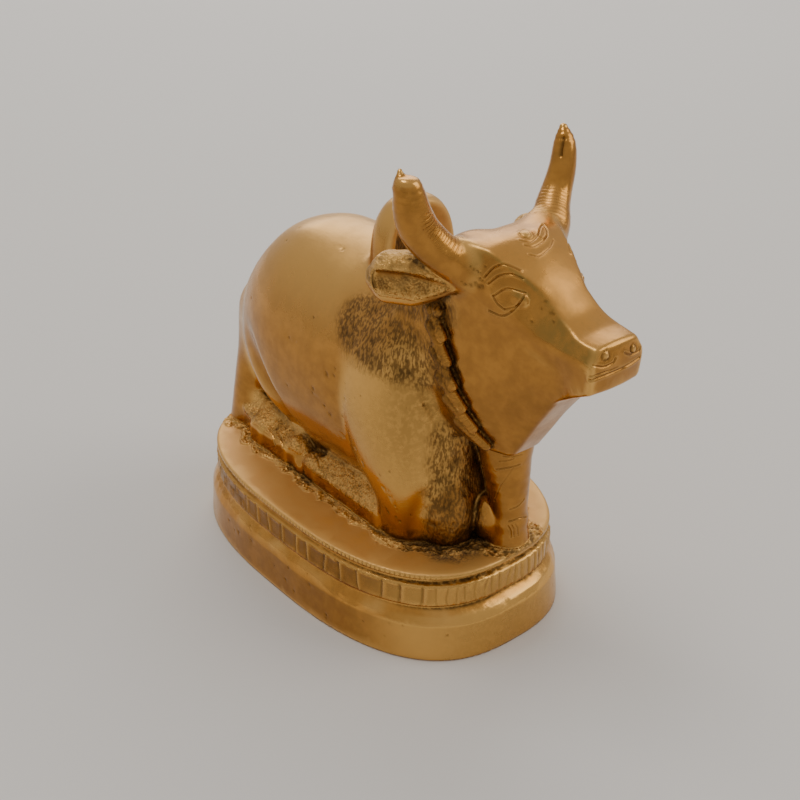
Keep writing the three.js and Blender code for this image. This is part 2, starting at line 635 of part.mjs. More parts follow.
// Plinth profile: foot, sloping ledge, groove, band, groove, lip. Offset is measured from the top rim.
function plinthBody() {
  const nominal = 40;
  const sides = 96;
  const bandTop = plinthHeight - lipHeight - grooveHeight;
  const bandBottom = bandTop - bandHeight;
  const ledgeTop = bandBottom - grooveHeight / 2;
  const footTop = ledgeTop - ledgeHeight;
  const edge = grooveHeight / 4;
  const profile = [
    [-nominal, 0], [plinthFlare, 0], [0.65 * plinthFlare, footTop], [-grooveDepth / 2, ledgeTop],
    [-grooveDepth / 2, bandBottom - edge], [0.1, bandBottom], [0.1, bandTop], [-grooveDepth, bandTop + edge],
    [-grooveDepth, bandTop + grooveHeight - edge], [0, bandTop + grooveHeight], [0, plinthHeight],
    [-nominal, plinthHeight],
  ];
  const lathe = new THREE.LatheGeometry(profile.map(([r, z]) => new THREE.Vector2(nominal + r, z)), sides);
  const place = lathe.attributes.position;
  for (let i = 0; i < place.count; i++) {
    const radius = Math.hypot(place.getX(i), place.getZ(i));
    const turn = Math.atan2(-place.getZ(i), place.getX(i));
    const height = place.getY(i);
    const [x, y] = radius < 1e-6 ? [0, 0] : ovalPoint(turn, radius - nominal);
    place.setXYZ(i, x, y, height);
  }
  return { body: solid(lathe), bandTop, bandBottom };
}

// Notches that split the band into blocks, evenly along its length.
function cutNotches({ body, bandTop, bandBottom }) {
  const dense = 720;
  const ring = [];
  for (let i = 0; i <= dense; i++) ring.push(ovalPoint((i / dense) * 2 * Math.PI, 0));
  const reach = [0];
  for (let i = 1; i <= dense; i++) {
    reach.push(reach[i - 1] + Math.hypot(ring[i][0] - ring[i - 1][0], ring[i][1] - ring[i - 1][1]));
  }
  const total = reach[dense];
  const count = Math.round(total / notchPitch);
  let cutBody = body;
  for (let n = 0; n < count; n++) {
    const s = ((n + 0.5) / count) * total;
    const i = reach.findIndex((v) => v > s);
    const [x, y] = ring[i];
    const [px, py] = ring[i - 1];
    const block = new THREE.BoxGeometry(notchWidth, 2 * notchDepth, bandTop - bandBottom + grooveHeight / 2);
    block.rotateZ(Math.atan2(y - py, x - px));
    block.translate(x, y, (bandTop + bandBottom) / 2);
    cutBody = cutBody.subtract(solid(block));
  }
  return cutBody;
}

function nandiBull() {
  const casting = cutNotches(plinthBody()).add(figureSolid());
  const brass = new THREE.MeshStandardMaterial({ color: 0xb08a4a, roughness: 0.3, metalness: 1 });
  const mesh = new THREE.Mesh(asGeometry(casting), brass);
  mesh.name = 'nandi_bull';
  return mesh;
}

const group = new THREE.Group();
group.add(nandiBull());
export default group;
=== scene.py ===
"""A seated bull with a collar of twisted cord, cast in brass as one body with its oval plinth.

The casting is one skin, drawn from a field that is negative inside the metal. The field is in
millimetres, x to the muzzle, y to the bull's left, z up from the plinth's top face. The mesh is in
metres in the shared frame, whose origin is the middle of the plinth's underside.
"""
import math

import bpy
import numpy as np
from mathutils import Matrix, Vector


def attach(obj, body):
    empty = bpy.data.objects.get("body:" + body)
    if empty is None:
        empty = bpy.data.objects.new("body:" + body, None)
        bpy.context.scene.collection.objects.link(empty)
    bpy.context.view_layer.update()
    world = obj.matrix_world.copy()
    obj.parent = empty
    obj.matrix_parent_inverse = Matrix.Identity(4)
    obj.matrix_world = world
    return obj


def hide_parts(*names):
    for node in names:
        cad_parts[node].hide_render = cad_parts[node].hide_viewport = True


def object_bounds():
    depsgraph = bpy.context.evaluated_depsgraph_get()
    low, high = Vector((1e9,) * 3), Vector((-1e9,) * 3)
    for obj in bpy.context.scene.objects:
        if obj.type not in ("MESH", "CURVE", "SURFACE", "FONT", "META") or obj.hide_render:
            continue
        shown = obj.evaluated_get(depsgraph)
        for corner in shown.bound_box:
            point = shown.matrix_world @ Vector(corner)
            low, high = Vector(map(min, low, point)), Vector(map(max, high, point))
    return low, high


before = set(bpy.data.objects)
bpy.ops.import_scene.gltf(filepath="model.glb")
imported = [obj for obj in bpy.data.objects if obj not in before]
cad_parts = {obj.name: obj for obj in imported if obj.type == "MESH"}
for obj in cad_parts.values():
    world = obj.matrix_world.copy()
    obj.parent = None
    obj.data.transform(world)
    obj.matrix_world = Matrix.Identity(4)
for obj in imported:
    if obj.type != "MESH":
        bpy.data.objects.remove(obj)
cad_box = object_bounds()

# Plinth, in millimetres.
PLINTH_LENGTH = 90.0
PLINTH_WIDTH = 55.2
PLINTH_HEIGHT = 20.35
PLINTH_FLARE = 1.7
OVAL_POWER = 2.67
LIP_HEIGHT = 1.15
GROOVE_HEIGHT = 1.6
GROOVE_DEPTH = 0.8
BAND_HEIGHT = 5.1
LEDGE_HEIGHT = 2.2
BAND_TOP = -LIP_HEIGHT - GROOVE_HEIGHT
BAND_FOOT = BAND_TOP - BAND_HEIGHT
BAND_MIDDLE = (BAND_TOP + BAND_FOOT) / 2

# Pattern of the plinth's band, in millimetres along its rim from the front.
FINE_STROKES_REACH = 17.0
FINE_PITCH = 2.1
BLOCK_PITCH = 5.0
BRICKS_FROM = 78.0

# Width, depth and raised rib of each kind of upright stroke, in millimetres.
FINE_STROKE = (0.26, 0.18, 0.14)
BLOCK_EDGE = (0.36, 0.26, 0.42)
BRICK_EDGE = (0.32, 0.24, 0.26)

# Camera, worked out from the photo: place in millimetres from the origin, angles in degrees.
CAMERA_PLACE = (201.76, -158.08, 180.86)
CAMERA_AZIMUTH = 50.64
CAMERA_PITCH = 29.08
CAMERA_LENS = 58.5
CAMERA_SENSOR = 36.0
PHOTO_SIZE = 800
RAY_START = 180.0
RAY_STEPS = 250

# Fineness of the skin, in millimetres; a coarse cell is COARSE grid steps wide.
GRID_STEP = 0.42
COARSE = 4
MOST_TRIANGLES = 196000
FAR = np.float32(12)
RIDGE_REACH = 1.1

# Metres below the top of the solid's box over which a taller tip is eased down into it.
TIP_EASE = 0.004

# How a triangle is split, by its corners 0 to 2 and the middles 3 to 5 of its edges.
SPLIT_ALL = ([0, 3, 5], [1, 4, 3], [2, 5, 4], [3, 4, 5])
SPLIT_ONE = ([0, 3, 2], [3, 1, 2])
SPLIT_TWO = ([0, 1, 4], [0, 4, 5], [5, 4, 2])


# Curves and fields


def curve(v, stations, values):
    """A smooth curve through the stations, flat beyond their ends."""
    xs = np.asarray(stations, np.float32)
    ys = np.asarray(values, np.float32)
    step = np.diff(xs)
    rise = np.diff(ys) / step
    slopes = np.zeros_like(ys)
    same = rise[:-1] * rise[1:] > 0
    slopes[1:-1][same] = 2 * (rise[:-1] * rise[1:])[same] / (rise[:-1] + rise[1:])[same]
    slopes[0], slopes[-1] = rise[0], rise[-1]
    v = np.clip(v, xs[0], xs[-1])
    i = np.clip(np.searchsorted(xs, v, side="right") - 1, 0, len(xs) - 2)
    t = (v - xs[i]) / step[i]
    s = 1 - t
    start = (1 + 2 * t) * s * s * ys[i] + t * s * s * step[i] * slopes[i]
    return start + t * t * (3 - 2 * t) * ys[i + 1] - t * t * s * step[i] * slopes[i + 1]


def join(a, b, k):
    """Union of two fields with a fillet of about k."""
    h = np.clip(0.5 + 0.5 * (b - a) / k, 0, 1)
    return b + (a - b) * h - k * h * (1 - h)


def meet(a, b, k):
    return -join(-a, -b, k)


def cut(a, b, k):
    return meet(a, -b, k)


def bone(x, y, z, a, b, ra, rb):
    """A tapered rod with round ends from a to b."""
    dx, dy, dz = (float(q - p) for p, q in zip(a, b))
    along = ((x - a[0]) * dx + (y - a[1]) * dy + (z - a[2]) * dz) / (dx * dx + dy * dy + dz * dz)
    t = np.clip(along, 0, 1)
    away = (x - a[0] - t * dx) ** 2 + (y - a[1] - t * dy) ** 2 + (z - a[2] - t * dz) ** 2
    return np.sqrt(away) - (ra + t * (rb - ra))


def egg(x, y, z, c, r):
    """An ellipsoid with centre c and half axes r."""
    u, v, w = (x - c[0]) / r[0], (y - c[1]) / r[1], (z - c[2]) / r[2]
    k0 = np.sqrt(u * u + v * v + w * w)
    k1 = np.sqrt((u / r[0]) ** 2 + (v / r[1]) ** 2 + (w / r[2]) ** 2)
    return k0 * (k0 - 1) / np.maximum(k1, 1e-6)


def bar(x, y, z, a, b, half, top, k, rise=0):
    """An upright bar from a to b in plan, whose top may rise to its inner side."""
    length = math.hypot(b[0] - a[0], b[1] - a[1])
    dx, dy = (b[0] - a[0]) / length, (b[1] - a[1]) / length
    along = (x - a[0]) * dx + (y - a[1]) * dy
    outwards = (y - a[1]) * dx - (x - a[0]) * dy
    above = (z - top - rise * (half - outwards)) / math.hypot(1, rise)
    f = meet(np.abs(outwards) - half, above, k)
    return meet(f, np.abs(along - length / 2) - length / 2 - half * 0.6, k)


def smooth_path(points, radii, steps):
    """Points and radii of a smooth path, steps + 1 of each."""
    ids = np.arange(len(points))
    s = np.linspace(0, len(points) - 1, steps + 1)
    path = np.stack([curve(s, ids, [p[k] for p in points]) for k in range(3)], 1)
    return path, curve(s, ids, radii)


def path_lengths(path):
    return np.r_[0, np.cumsum(np.linalg.norm(np.diff(path, axis=0), axis=1))]


def rods(x, y, z, ends):
    """Union of tapered rods, each given by its two ends and their radii."""
    return np.minimum.reduce([bone(x, y, z, *rod) for rod in ends])


def tube(x, y, z, path, radii):
    return rods(x, y, z, zip(path, path[1:], radii, radii[1:]))


def within(x, y, z, low, high, part):
    """The field of a part inside its own box, and a far value outside it."""
    inside = (x > low[0]) & (x < high[0]) & (y > low[1]) & (y < high[1]) & (z > low[2]) & (z < high[2])
    f = np.full(np.shape(x), FAR)
    if inside.any():
        f[inside] = part(x[inside], y[inside], z[inside])
    return f


# The bull, part by part


def barrel(x, y, z):
    """Barrel of the body: an upright egg with a steep rump."""
    width = curve(x, [-44, -26, -8, 10, 34], [16.0, 18.4, 19.8, 19.2, 16.5])
    rise = curve(x, [-44, -34, -22, -8, 8, 34], [17.0, 21.2, 26.2, 27.6, 26.3, 20.0])
    middle = 30.6
    belly = 26.5
    height = np.where(z > middle, rise, belly)
    rump = 29.5 - 0.11 * np.maximum(z - 29, 0)
    end = np.where(x < -12, (-12 - x) / rump, np.maximum(x - 6, 0) / 27.5)
    g = (np.abs(y) / width) ** 2.2 + (np.abs(z - middle) / height) ** 2.15 + end**2.1
    return (g ** (1 / 2.15) - 1) * 18


def core(x, y, z):
    """Solid metal under the belly, between the legs."""
    return bar(x, y, z, (-33, 0), (17, 0), 10.5, 8.5, 3)


def flank_hollow(x, y, z):
    return bone(x, np.abs(y), z, (-25.5, 22.6, 30), (-14, 19, 9.5), 5.5, 8)


def hump(x, y, z):
    """Upright lobe over the shoulders, with a sunk face to the front inside a rim."""
    across, up = np.abs(y) / np.where(y < 0, 8.6, 10.2), np.maximum(z - 53.5, 0)
    g = np.abs((x - 12.4) / 6.8) ** 2.2 + across**2.3 + (up / 17.0) ** 3.2
    lobe = meet((g ** (1 / 2.4) - 1) * 8, x - 15.7, 0.5)
    lobe = cut(lobe, np.maximum(face_of_hump(y, z), 15.25 - x), 0.3)
    return meet(lobe, 42 - z, 1)


def face_of_hump(y, z):
    """Negative inside the sunk part of the hump's front face."""
    across, up = (y + 3.4) / 3.6, np.maximum(z - 53.5, 0) / 13.6
    return ((np.abs(across) ** 2.6 + up**2.6) ** (1 / 2.6) - 1) * 3.6


def neck(x, y, z):
    return bone(x, y * 1.05, z, (14, 0, 40.5), (36, 0, 56), 15, 10.8)


def dewlap(x, y, z):
    """Throat and dewlap: flat sides that close in from the collar to a narrow front."""
    side = np.abs(y)
    levels = [25, 28, 34, 41.5, 48.5, 55.5, 63.5]
    back_width = curve(z, levels, [5.6, 6.4, 9.0, 11.0, 11.5, 11.6, 11.0])
    back_x = curve(z, levels, [42, 41.3, 39.4, 37.5, 35.6, 34.0, 33.0])
    levels = [25, 31, 37.5, 44, 49.5, 57.5, 63.5]
    front_x = curve(z, levels, [46.5, 50.5, 54.6, 59.2, 62.5, 62.5, 60])
    front_width = curve(z, levels, [3.8, 3.9, 4.1, 4.8, 5.4, 6.0, 6.0])
    nx, ny = back_width - front_width, front_x - back_x
    flat = ((x - back_x) * nx + (side - back_width) * ny) / np.hypot(nx, ny)
    f = meet(flat, x - front_x, 1)
    f = meet(f, side - back_width, 1.5)
    f = meet(f, 22 - x, 2)
    f = meet(f, 26.8 - z, 1.2)
    return meet(f, z - 62.5 + 0.38 * np.maximum(x - 38, 0), 3)


def head(x, y, z):
    """A flat brow and nose, a slanting plane with the eye, and flat cheeks."""
    side = np.abs(y)
    at = [36, 40, 44, 49, 53, 57, 61, 65, 69]
    brow = curve(x, at, [70.6, 71.1, 71.0, 69.0, 66.6, 63.5, 60.9, 59.4, 59.1])
    brow_width = curve(x, at, [9.5, 9.6, 9.4, 7.9, 6.1, 4.9, 4.9, 5.5, 5.2])
    crown = curve(x, at, [-0.3, 0.4, 0.9, 1.0, 0.9, 0.7, 0.5, 0.5, 0.4])
    cheek = curve(x, at, [65.2, 65.0, 64.0, 61.6, 58.9, 56.8, 56.3, 56.1, 56.0])
    cheek_width = curve(x, at, [12.0, 11.8, 11.0, 9.7, 8.4, 7.3, 6.9, 6.9, 7.0])
    jaw = curve(x, at, [38, 39, 40, 41, 41.5, 43.2, 45.6, 48.2, 50.4])
    jaw_width = curve(x, at, [9.3, 8.6, 7.9, 6.6, 5.4, 4.7, 5.0, 6.0, 6.6])
    top = z - brow - crown * (1 - (side / brow_width) ** 2)
    bx, bz = brow - cheek, cheek_width - brow_width
    slant = ((side - brow_width) * bx + (z - brow) * bz) / np.hypot(bx, bz)
    cx, cz = cheek - jaw, jaw_width - cheek_width
    flat = ((side - cheek_width) * cx + (z - cheek) * cz) / np.hypot(cx, cz)
    muzzle = x - 69.9 + 0.012 * side**2
    muzzle = muzzle + 0.1 * np.maximum(z - 55.5, 0) ** 1.5 + 0.05 * np.maximum(54.5 - z, 0) ** 1.3
    f = meet(top, slant, 0.6)
    f = meet(f, flat, 0.6)
    f = meet(f, jaw - z, 1)
    f = meet(f, muzzle, 0.8)
    return meet(f, 35 - x, 3)


LEFT_HORN_POINTS = [
    (40.5, 9.5, 66.6), (39.0, 12.6, 69.0), (37.2, 14.9, 71.5), (36.0, 17.2, 74.6),
    (35.5, 18.8, 78.4), (34.7, 19.8, 82.2), (33.6, 20.4, 85.5),
]
RIGHT_HORN_POINTS = [
    (39.3, 10.4, 66.6), (38.1, 13.3, 69.0), (36.4, 15.7, 71.8), (35.4, 17.7, 75.0),
    (35.2, 18.9, 78.6), (35.0, 19.4, 82.2), (34.6, 19.8, 85.6),
]
LEFT_HORN = smooth_path(LEFT_HORN_POINTS, [4.2, 3.85, 3.4, 2.95, 2.6, 2.2, 0.85], 18)
RIGHT_HORN = smooth_path(RIGHT_HORN_POINTS, [3.7, 3.65, 3.75, 3.7, 3.3, 2.65, 1.95], 18)


def right_horn(x, y, z):
    """The right horn ends in a worn break with a spike left at its outer edge."""
    f = meet(tube(x, y, z, *RIGHT_HORN), z - 84.7, 1.4)
    return join(f, bone(x, y, z, (34.1, 20.1, 82.6), (33.1, 19.8, 85.5), 1.8, 0.45), 0.5)


def horns(x, y, z):
    low, high = (25, 2, 57), (50, 30, 95)
    left = within(x, y, z, low, high, lambda a, b, c: tube(a, b, c, *LEFT_HORN))
    return np.minimum(left, within(x, -y, z, low, high, right_horn))


EAR_TURN = 2.6
EAR_SQUASH = 1.6
LEFT_EAR = (32.6, 14.9, 61.6)
RIGHT_EAR = (32.2, 16.0, 62.8)


def ear_leaf(x, y, z, centre):
    """A thick leaf with a blunt tip, and its own three axes."""
    u, v, w = x - centre[0], y - centre[1], z - centre[2]
    along = u * math.cos(EAR_TURN) + v * math.sin(EAR_TURN)
    back = v * math.cos(EAR_TURN) - u * math.sin(EAR_TURN)
    up = w + 0.04 * along
    half = curve(along, [-9.5, -5, 0, 5, 8.5], [1.6, 3.6, 5.2, 5.2, 3.6])
    thick = half * 0.55 + 0.6
    g = (np.abs(up - 0.3) / half) ** 2.4 + (np.abs(back) / thick) ** 2.4 + (np.abs(along) / 9.2) ** 5
    return (g ** (1 / 2.4) - 1) * 3, along, back, up


def ear(x, y, z, centre):
    """The leaf with a wedge-shaped hollow that faces forward."""
    leaf, along, back, up = ear_leaf(x, y, z, centre)
    deep = EAR_SQUASH * back
    path = [(5.0, -5.2, 0.4), (-2.0, -5.5, 0.3), (-8.2, -3.2, 0.0)]
    hollow = tube(along, deep, up, path, [2.4, 2.5, 0.4])
    recess = bone(along, deep, up, (0.6, -4.3, 1.0), (-6.5, -3.6, 0.4), 1.5, 0.5)
    return cut(leaf, np.minimum(hollow, recess), 0.3)


def ears(x, y, z):
    low, high = (18, 7, 52), (46, 27, 73)
    left = within(x, y, z, low, high, lambda a, b, c: ear(a, b, c, LEFT_EAR))
    right = within(x, -y, z, low, high, lambda a, b, c: ear(a, b, c, RIGHT_EAR))
    return np.minimum(left, right)


def forequarter(x, y, z):
    """Right shoulder and folded foreleg: broad above, narrowing to the knee on the plinth."""
    centre = curve(z, [0, 8, 17, 28, 40, 58], [22.6, 23.6, 21.4, 19.0, 17.0, 15.0])
    length = curve(z, [0, 8, 17, 28, 40, 58], [6.8, 7.0, 10.8, 12.6, 13.5, 12.0])
    width = curve(z, [0, 5, 10, 18, 28, 38, 48, 58], [7.0, 7.6, 8.6, 10.4, 11.4, 10.2, 6.5, 2.0])
    g = (np.abs(x - centre) / length) ** 2.5 + (np.abs(y + 8) / width) ** 2.5
    return meet((g ** (1 / 2.5) - 1) * 7, z - 50, 8)


LEG_EDGE = 1.1


def folded_cannon(x, y, z):
    leg = bar(x, -y, z, (-1.5, 12.1), (19, 12.3), 3.3, 3.8, LEG_EDGE, 0.8)
    hoof = egg(x, y, z, (-5.2, -12.4, 2.2), (4.6, 3.3, 3.8))
    heel = egg(x, y, z, (-9.4, -12.2, 1.2), (3.4, 3.4, 3.2))
    return join(join(leg, hoof, 1), heel, 0.6)


def chest(x, y, z):
    """Chest, its lump between the forelegs, and the solid metal under it."""
    front = egg(x, y, z, (22, 0, 19.6), (12.4, 12, 23))
    lump = egg(x, y, z, (30.5, -4.5, 6), (6, 6.5, 11))
    under = egg(x, y, z, (12, -4, 0), (14, 9, 9))
    web = egg(x, y, z, (31, 4.5, 9), (5.2, 6.5, 14))
    return join(join(join(front, lump, 3), web, 2), under, 3)


SHIN_POINTS = [(39.2, 2.9, 26), (39.5, 3.2, 20), (39.9, 3.7, 13), (39.9, 4, 6.6)]
SHIN = smooth_path(SHIN_POINTS, [5.8, 5.3, 4.5, 4.0], 9)


def raised_leg(x, y, z):
    """Left foreleg: a forearm that reaches forward, and an upright shin on its hoof."""

    def foot(x, y, z):
        shin = tube(x, y, z, *SHIN)
        hoof = bone(x, y, z, (39.7, 4.2, 4.5), (39.5, 4.3, 0), 4.3, 5.0)
        heel = egg(x, y, z, (36.9, 1.5, 5.2), (3.9, 3.6, 5.8))
        return join(join(shin, hoof, 1.5), heel, 0.7)

    arm = bone(x, y, z, (17, 10.5, 28), (38.8, 4.2, 24.6), 9.6, 5.0)
    return join(within(x, y, z, (24, -12, -4), (54, 18, 42), foot), arm, 2)


def left_shoulder(x, y, z):
    return egg(x, y, z, (16, 8.6, 27), (13, 10.6, 20))


def haunch(x, y, z):
    """Ridge down the rump, on both sides."""
    path = [(-34.0, 6.2, 31.0), (-36.6, 6.6, 17.6), (-39.2, 7.8, 0)]
    return tube(x, np.abs(y), z, path, [5.2, 5.2, 5.4])


def hind_leg(x, y, z):
    """The hind leg that lies forward along the plinth, on both sides, and its hoof."""
    side = np.abs(y)
    shank = bar(x, side, z, (-39, 8.2), (-25.5, 11.8), 3.4, 5.0, LEG_EDGE, 0.5)
    cannon = bar(x, side, z, (-27.5, 11.9), (-15.5, 12.1), 3.3, 4.9, LEG_EDGE, 0.5)
    return join(join(shank, cannon, 1), egg(x, side, z, (-12.8, 12.0, 2.6), (4.4, 3.3, 4.4)), 0.8)


TAIL_POINTS = [
    (-34.2, 0, 43), (-39.6, 0.8, 37), (-42.0, 2.2, 24), (-42.6, 5, 11),
    (-40, 11.5, 4), (-33, 16.2, 2.8), (-27, 17.6, 2.8),
]
TAIL = smooth_path(TAIL_POINTS, [1.3, 1.6, 1.6, 1.6, 1.7, 2.5, 1.0], 18)

COLLAR_POINTS = [
    (28.6, 0, 63.4), (29.8, 5.5, 62.6), (31.6, 10.2, 59.6), (34.0, 12.4, 55.8),
    (36.0, 12.5, 49.2), (38.0, 11.9, 42.0), (40.3, 10.1, 35.2), (42.8, 7.0, 28.4),
]
STRAND_PITCH = 5.0
STRAND_REACH = 6.6
STRAND_SLANT = 1.05
STRAND_RADII = (1.5, 1.05)


def collar_strands():
    """Short slanting strands, one over the next, round the neck to the raised knee."""
    path, _ = smooth_path(COLLAR_POINTS, [1] * len(COLLAR_POINTS), 200)
    run = path_lengths(path)
    strands = []
    for s in np.arange(0, run[-1] - STRAND_PITCH / 2, STRAND_PITCH):
        start, end = max(s - 1, 0), min(s + STRAND_REACH, run[-1])
        a, b = (np.array([np.interp(t, run, path[:, k]) for k in range(3)]) for t in (start, end))
        out = (0.25, 1, 0.35) if s > 14 else (0, 0.4, 1)
        side = np.cross(b - a, out)
        side *= STRAND_SLANT / np.linalg.norm(side)
        strands.append((a - side, b + side))
    return strands


STRANDS = collar_strands()


def collar(x, y, z):
    def strands(x, y, z):
        return rods(x, y, z, [(a, b, *STRAND_RADII) for a, b in STRANDS])

    return within(x, np.abs(y), z, (24, -1, 24), (47, 18, 68), strands)


def face(x, y, z):
    """Head, throat, horns, eyes, the boss on the forehead and the right horn's swollen root."""

    def near(x, y, z):
        f = join(dewlap(x, y, z), head(x, y, z), 0.6)
        f = join(f, egg(x, y, z, (37.5, -5.2, 69.0), (4.5, 5.5, 2.2)), 0.8)
        f = join(f, horns(x, y, z), 3.2)
        f = join(f, egg(x, np.abs(y), z, (50.6, 7.0, 63.3), (3.0, 1.35, 1.9)), 0.4)
        return join(f, egg(x, y, z, (44.4, 0.3, 71.3), (1.6, 1.5, 0.9)), 0.4)

    return within(x, y, z, (14, -35, 14), (80, 35, 95), near)


def tail(x, y, z):
    return within(x, y, z, (-50, -8, -3), (-18, 26, 52), lambda a, b, c: tube(a, b, c, *TAIL))


BODY_PARTS = (
    (core, 1.5), (haunch, 3), (hind_leg, 1.2), (forequarter, 0.7), (left_shoulder, 4), (neck, 5),
    (hump, 1.2), (chest, 3), (folded_cannon, 0.8), (tail, 0.8), (face, 2), (collar, 0.3), (ears, 0.8),
    (raised_leg, 0.8),
)


def bull(x, y, z):
    """The barrel, and every other part joined to it with its own fillet."""
    f = cut(barrel(x, y, z), flank_hollow(x, y, z), 2.5)
    for part, fillet in BODY_PARTS:
        f = join(f, part(x, y, z), fillet)
    return f


def oval(x, y, half_long, half_wide):
    """1 on the outline of the plinth's oval, less inside it."""
    return (np.abs(x) / half_long) ** OVAL_POWER + (np.abs(y) / half_wide) ** OVAL_POWER


def plinth(x, y, z):
    """Oval plinth: foot, sloping ledge, groove, band, groove, lip."""
    half_wide = PLINTH_WIDTH / 2
    rim = (oval(x, y, PLINTH_LENGTH / 2, half_wide) ** (1 / OVAL_POWER) - 1) * half_wide
    ledge_top = BAND_FOOT - GROOVE_HEIGHT / 2
    foot_top = ledge_top - LEDGE_HEIGHT
    edge = GROOVE_HEIGHT / 4
    levels = [
        (-PLINTH_HEIGHT, PLINTH_FLARE),
        (foot_top - 1.0, 0.75 * PLINTH_FLARE),
        (foot_top + 0.6, 0.4 * PLINTH_FLARE),
        (ledge_top, -GROOVE_DEPTH / 2),
        (BAND_FOOT - edge, -GROOVE_DEPTH / 2),
        (BAND_FOOT + 0.2, 0.1),
        (BAND_TOP - 0.2, 0.1),
        (BAND_TOP + edge, -GROOVE_DEPTH),
        (BAND_TOP + GROOVE_HEIGHT - edge, -GROOVE_DEPTH),
        (BAND_TOP + GROOVE_HEIGHT + 0.1, 0),
        (0, 0),
    ]
    out = np.interp(z, [h for h, _ in levels], [r for _, r in levels])
    return meet(meet(rim - out, z, 0.5), -PLINTH_HEIGHT - z, 0.3)


def casting(x, y, z):
    figure = np.maximum(within(x, y, z, (-50, -32, -3), (76, 32, 92), bull), -0.6 - z)
    return join(figure, plinth(x, y, z), 0.7)


# Skin of a field


def blank(points):
    """A 0 for each point."""
    return np.zeros(len(points), np.float32)


def grid_lines(step):
    low, high = (-48.8, -31.4, -PLINTH_HEIGHT - 2.1), (72.0, 31.4, 88.0)
    return [np.arange(a, b + step * COARSE, step, dtype=np.float32) for a, b in zip(low, high)]


def sample(field, lines):
    """The field on a grid, worked out only in the coarse cells that may hold the skin."""
    lines = [g[: (len(g) - 1) // COARSE * COARSE + 1] for g in lines]
    coarse = [g[::COARSE] for g in lines]
    rough = in_chunks(field, np.stack(np.meshgrid(*coarse, indexing="ij"), -1).reshape(-1, 3))
    rough = rough.reshape([len(g) for g in coarse])
    reach = 1.2 * COARSE * (lines[0][1] - lines[0][0])
    near = np.abs(rough) < reach
    for axis in range(3):
        near |= np.roll(near, -1, axis)
    fine = rough
    keep = near
    for axis in range(3):
        fine = np.repeat(fine, COARSE, axis=axis).take(range(len(lines[axis])), axis=axis)
        keep = np.repeat(keep, COARSE, axis=axis).take(range(len(lines[axis])), axis=axis)
    at = np.argwhere(keep)
    points = np.stack([lines[k][at[:, k]] for k in range(3)], 1)
    fine[tuple(at.T)] = in_chunks(field, points)
    return fine, lines


def in_chunks(field, points, size=300000):
    out = np.empty(len(points), np.float32)
    for i in range(0, len(points), size):
        x, y, z = points[i : i + size].T
        out[i : i + size] = field(x, y, z)
    return out


def surface_nets(values, lines):
    """Points and quads of the skin where the sampled values change sign."""
    inside = values < 0
    shape = np.array(values.shape)
    rings, places, flips = [], [], []
    for axis in range(3):
        first = np.take(inside, range(shape[axis] - 1), axis=axis)
        second = np.take(inside, range(1, shape[axis]), axis=axis)
        at = np.argwhere(first != second)
        after = at.copy()
        after[:, axis] += 1
        a, b = values[tuple(at.T)], values[tuple(after.T)]
        place = np.stack([lines[k][at[:, k]] for k in range(3)], 1)
        place[:, axis] += a / (a - b) * (lines[axis][after[:, axis]] - lines[axis][at[:, axis]])
        ring = []
        for du, dv in ((0, 0), (-1, 0), (-1, -1), (0, -1)):
            cell = at.copy()
            cell[:, (axis + 1) % 3] += du
            cell[:, (axis + 2) % 3] += dv
            ring.append(np.ravel_multi_index(cell.T, shape))
        rings.append(np.stack(ring, 1))
        places.append(np.repeat(place, 4, axis=0))
        flips.append(~inside[tuple(at.T)])
    rings, places, flips = (np.concatenate(parts) for parts in (rings, places, flips))
    cells, owner = np.unique(rings.ravel(), return_inverse=True)
    count = np.bincount(owner, minlength=len(cells))
    points = np.stack([np.bincount(owner, places[:, k]) / count for k in range(3)], 1)
    quads = owner.reshape(-1, 4)
    quads[flips] = quads[flips][:, ::-1]
    return points.astype(np.float32), quads


def slope(field, points, reach=0.06):
    """Gradient of a field at each point."""
    steps = np.eye(3, dtype=np.float32) * reach
    rise = [in_chunks(field, points + s) - in_chunks(field, points - s) for s in steps]
    return np.stack(rise, 1) / (2 * reach)


def settle(field, points, rounds):
    """Moves points onto the skin along the field's slope."""
    for _ in range(rounds):
        g = slope(field, points)
        f = in_chunks(field, points)
        move = g * (f / np.maximum((g * g).sum(1), 0.1))[:, None]
        length = np.linalg.norm(move, axis=1)
        points = points - move * np.minimum(1, 0.4 / np.maximum(length, 1e-6))[:, None]
    return points


def refine(points, triangles, chosen):
    """Splits the chosen triangles in four, and their neighbours to match."""
    edges = np.sort(triangles[:, [[0, 1], [1, 2], [2, 0]]], axis=2)
    keys = edges[..., 0].astype(np.int64) * len(points) + edges[..., 1]
    split = np.unique(keys[chosen])
    found = np.minimum(np.searchsorted(split, keys), len(split) - 1)
    is_split = split[found] == keys
    corners = np.concatenate([triangles, found + len(points)], 1)
    ends = np.stack([split // len(points), split % len(points)], 1)
    points = np.concatenate([points, points[ends].mean(1)])
    kinds = is_split.sum(1)
    made = [triangles[kinds == 0]]
    made += [corners[kinds == 3][:, pattern] for pattern in SPLIT_ALL]
    for turn in range(3):
        order = [(turn + k) % 3 for k in range(3)]
        turned = corners[:, order + [k + 3 for k in order]]
        one = (kinds == 1) & is_split[:, turn]
        two = (kinds == 2) & ~is_split[:, turn]
        made += [turned[one][:, pattern] for pattern in SPLIT_ONE]
        made += [turned[two][:, pattern] for pattern in SPLIT_TWO]
    return points, np.concatenate(made)


# Camera, also used to set carved lines where the photo shows them


def camera_axes():
    a, p = math.radians(CAMERA_AZIMUTH), math.radians(CAMERA_PITCH)
    ahead = np.array([-math.sin(a) * math.cos(p), math.cos(a) * math.cos(p), -math.sin(p)])
    right = np.array([math.cos(a), math.sin(a), 0])
    return right, np.cross(right, ahead), ahead


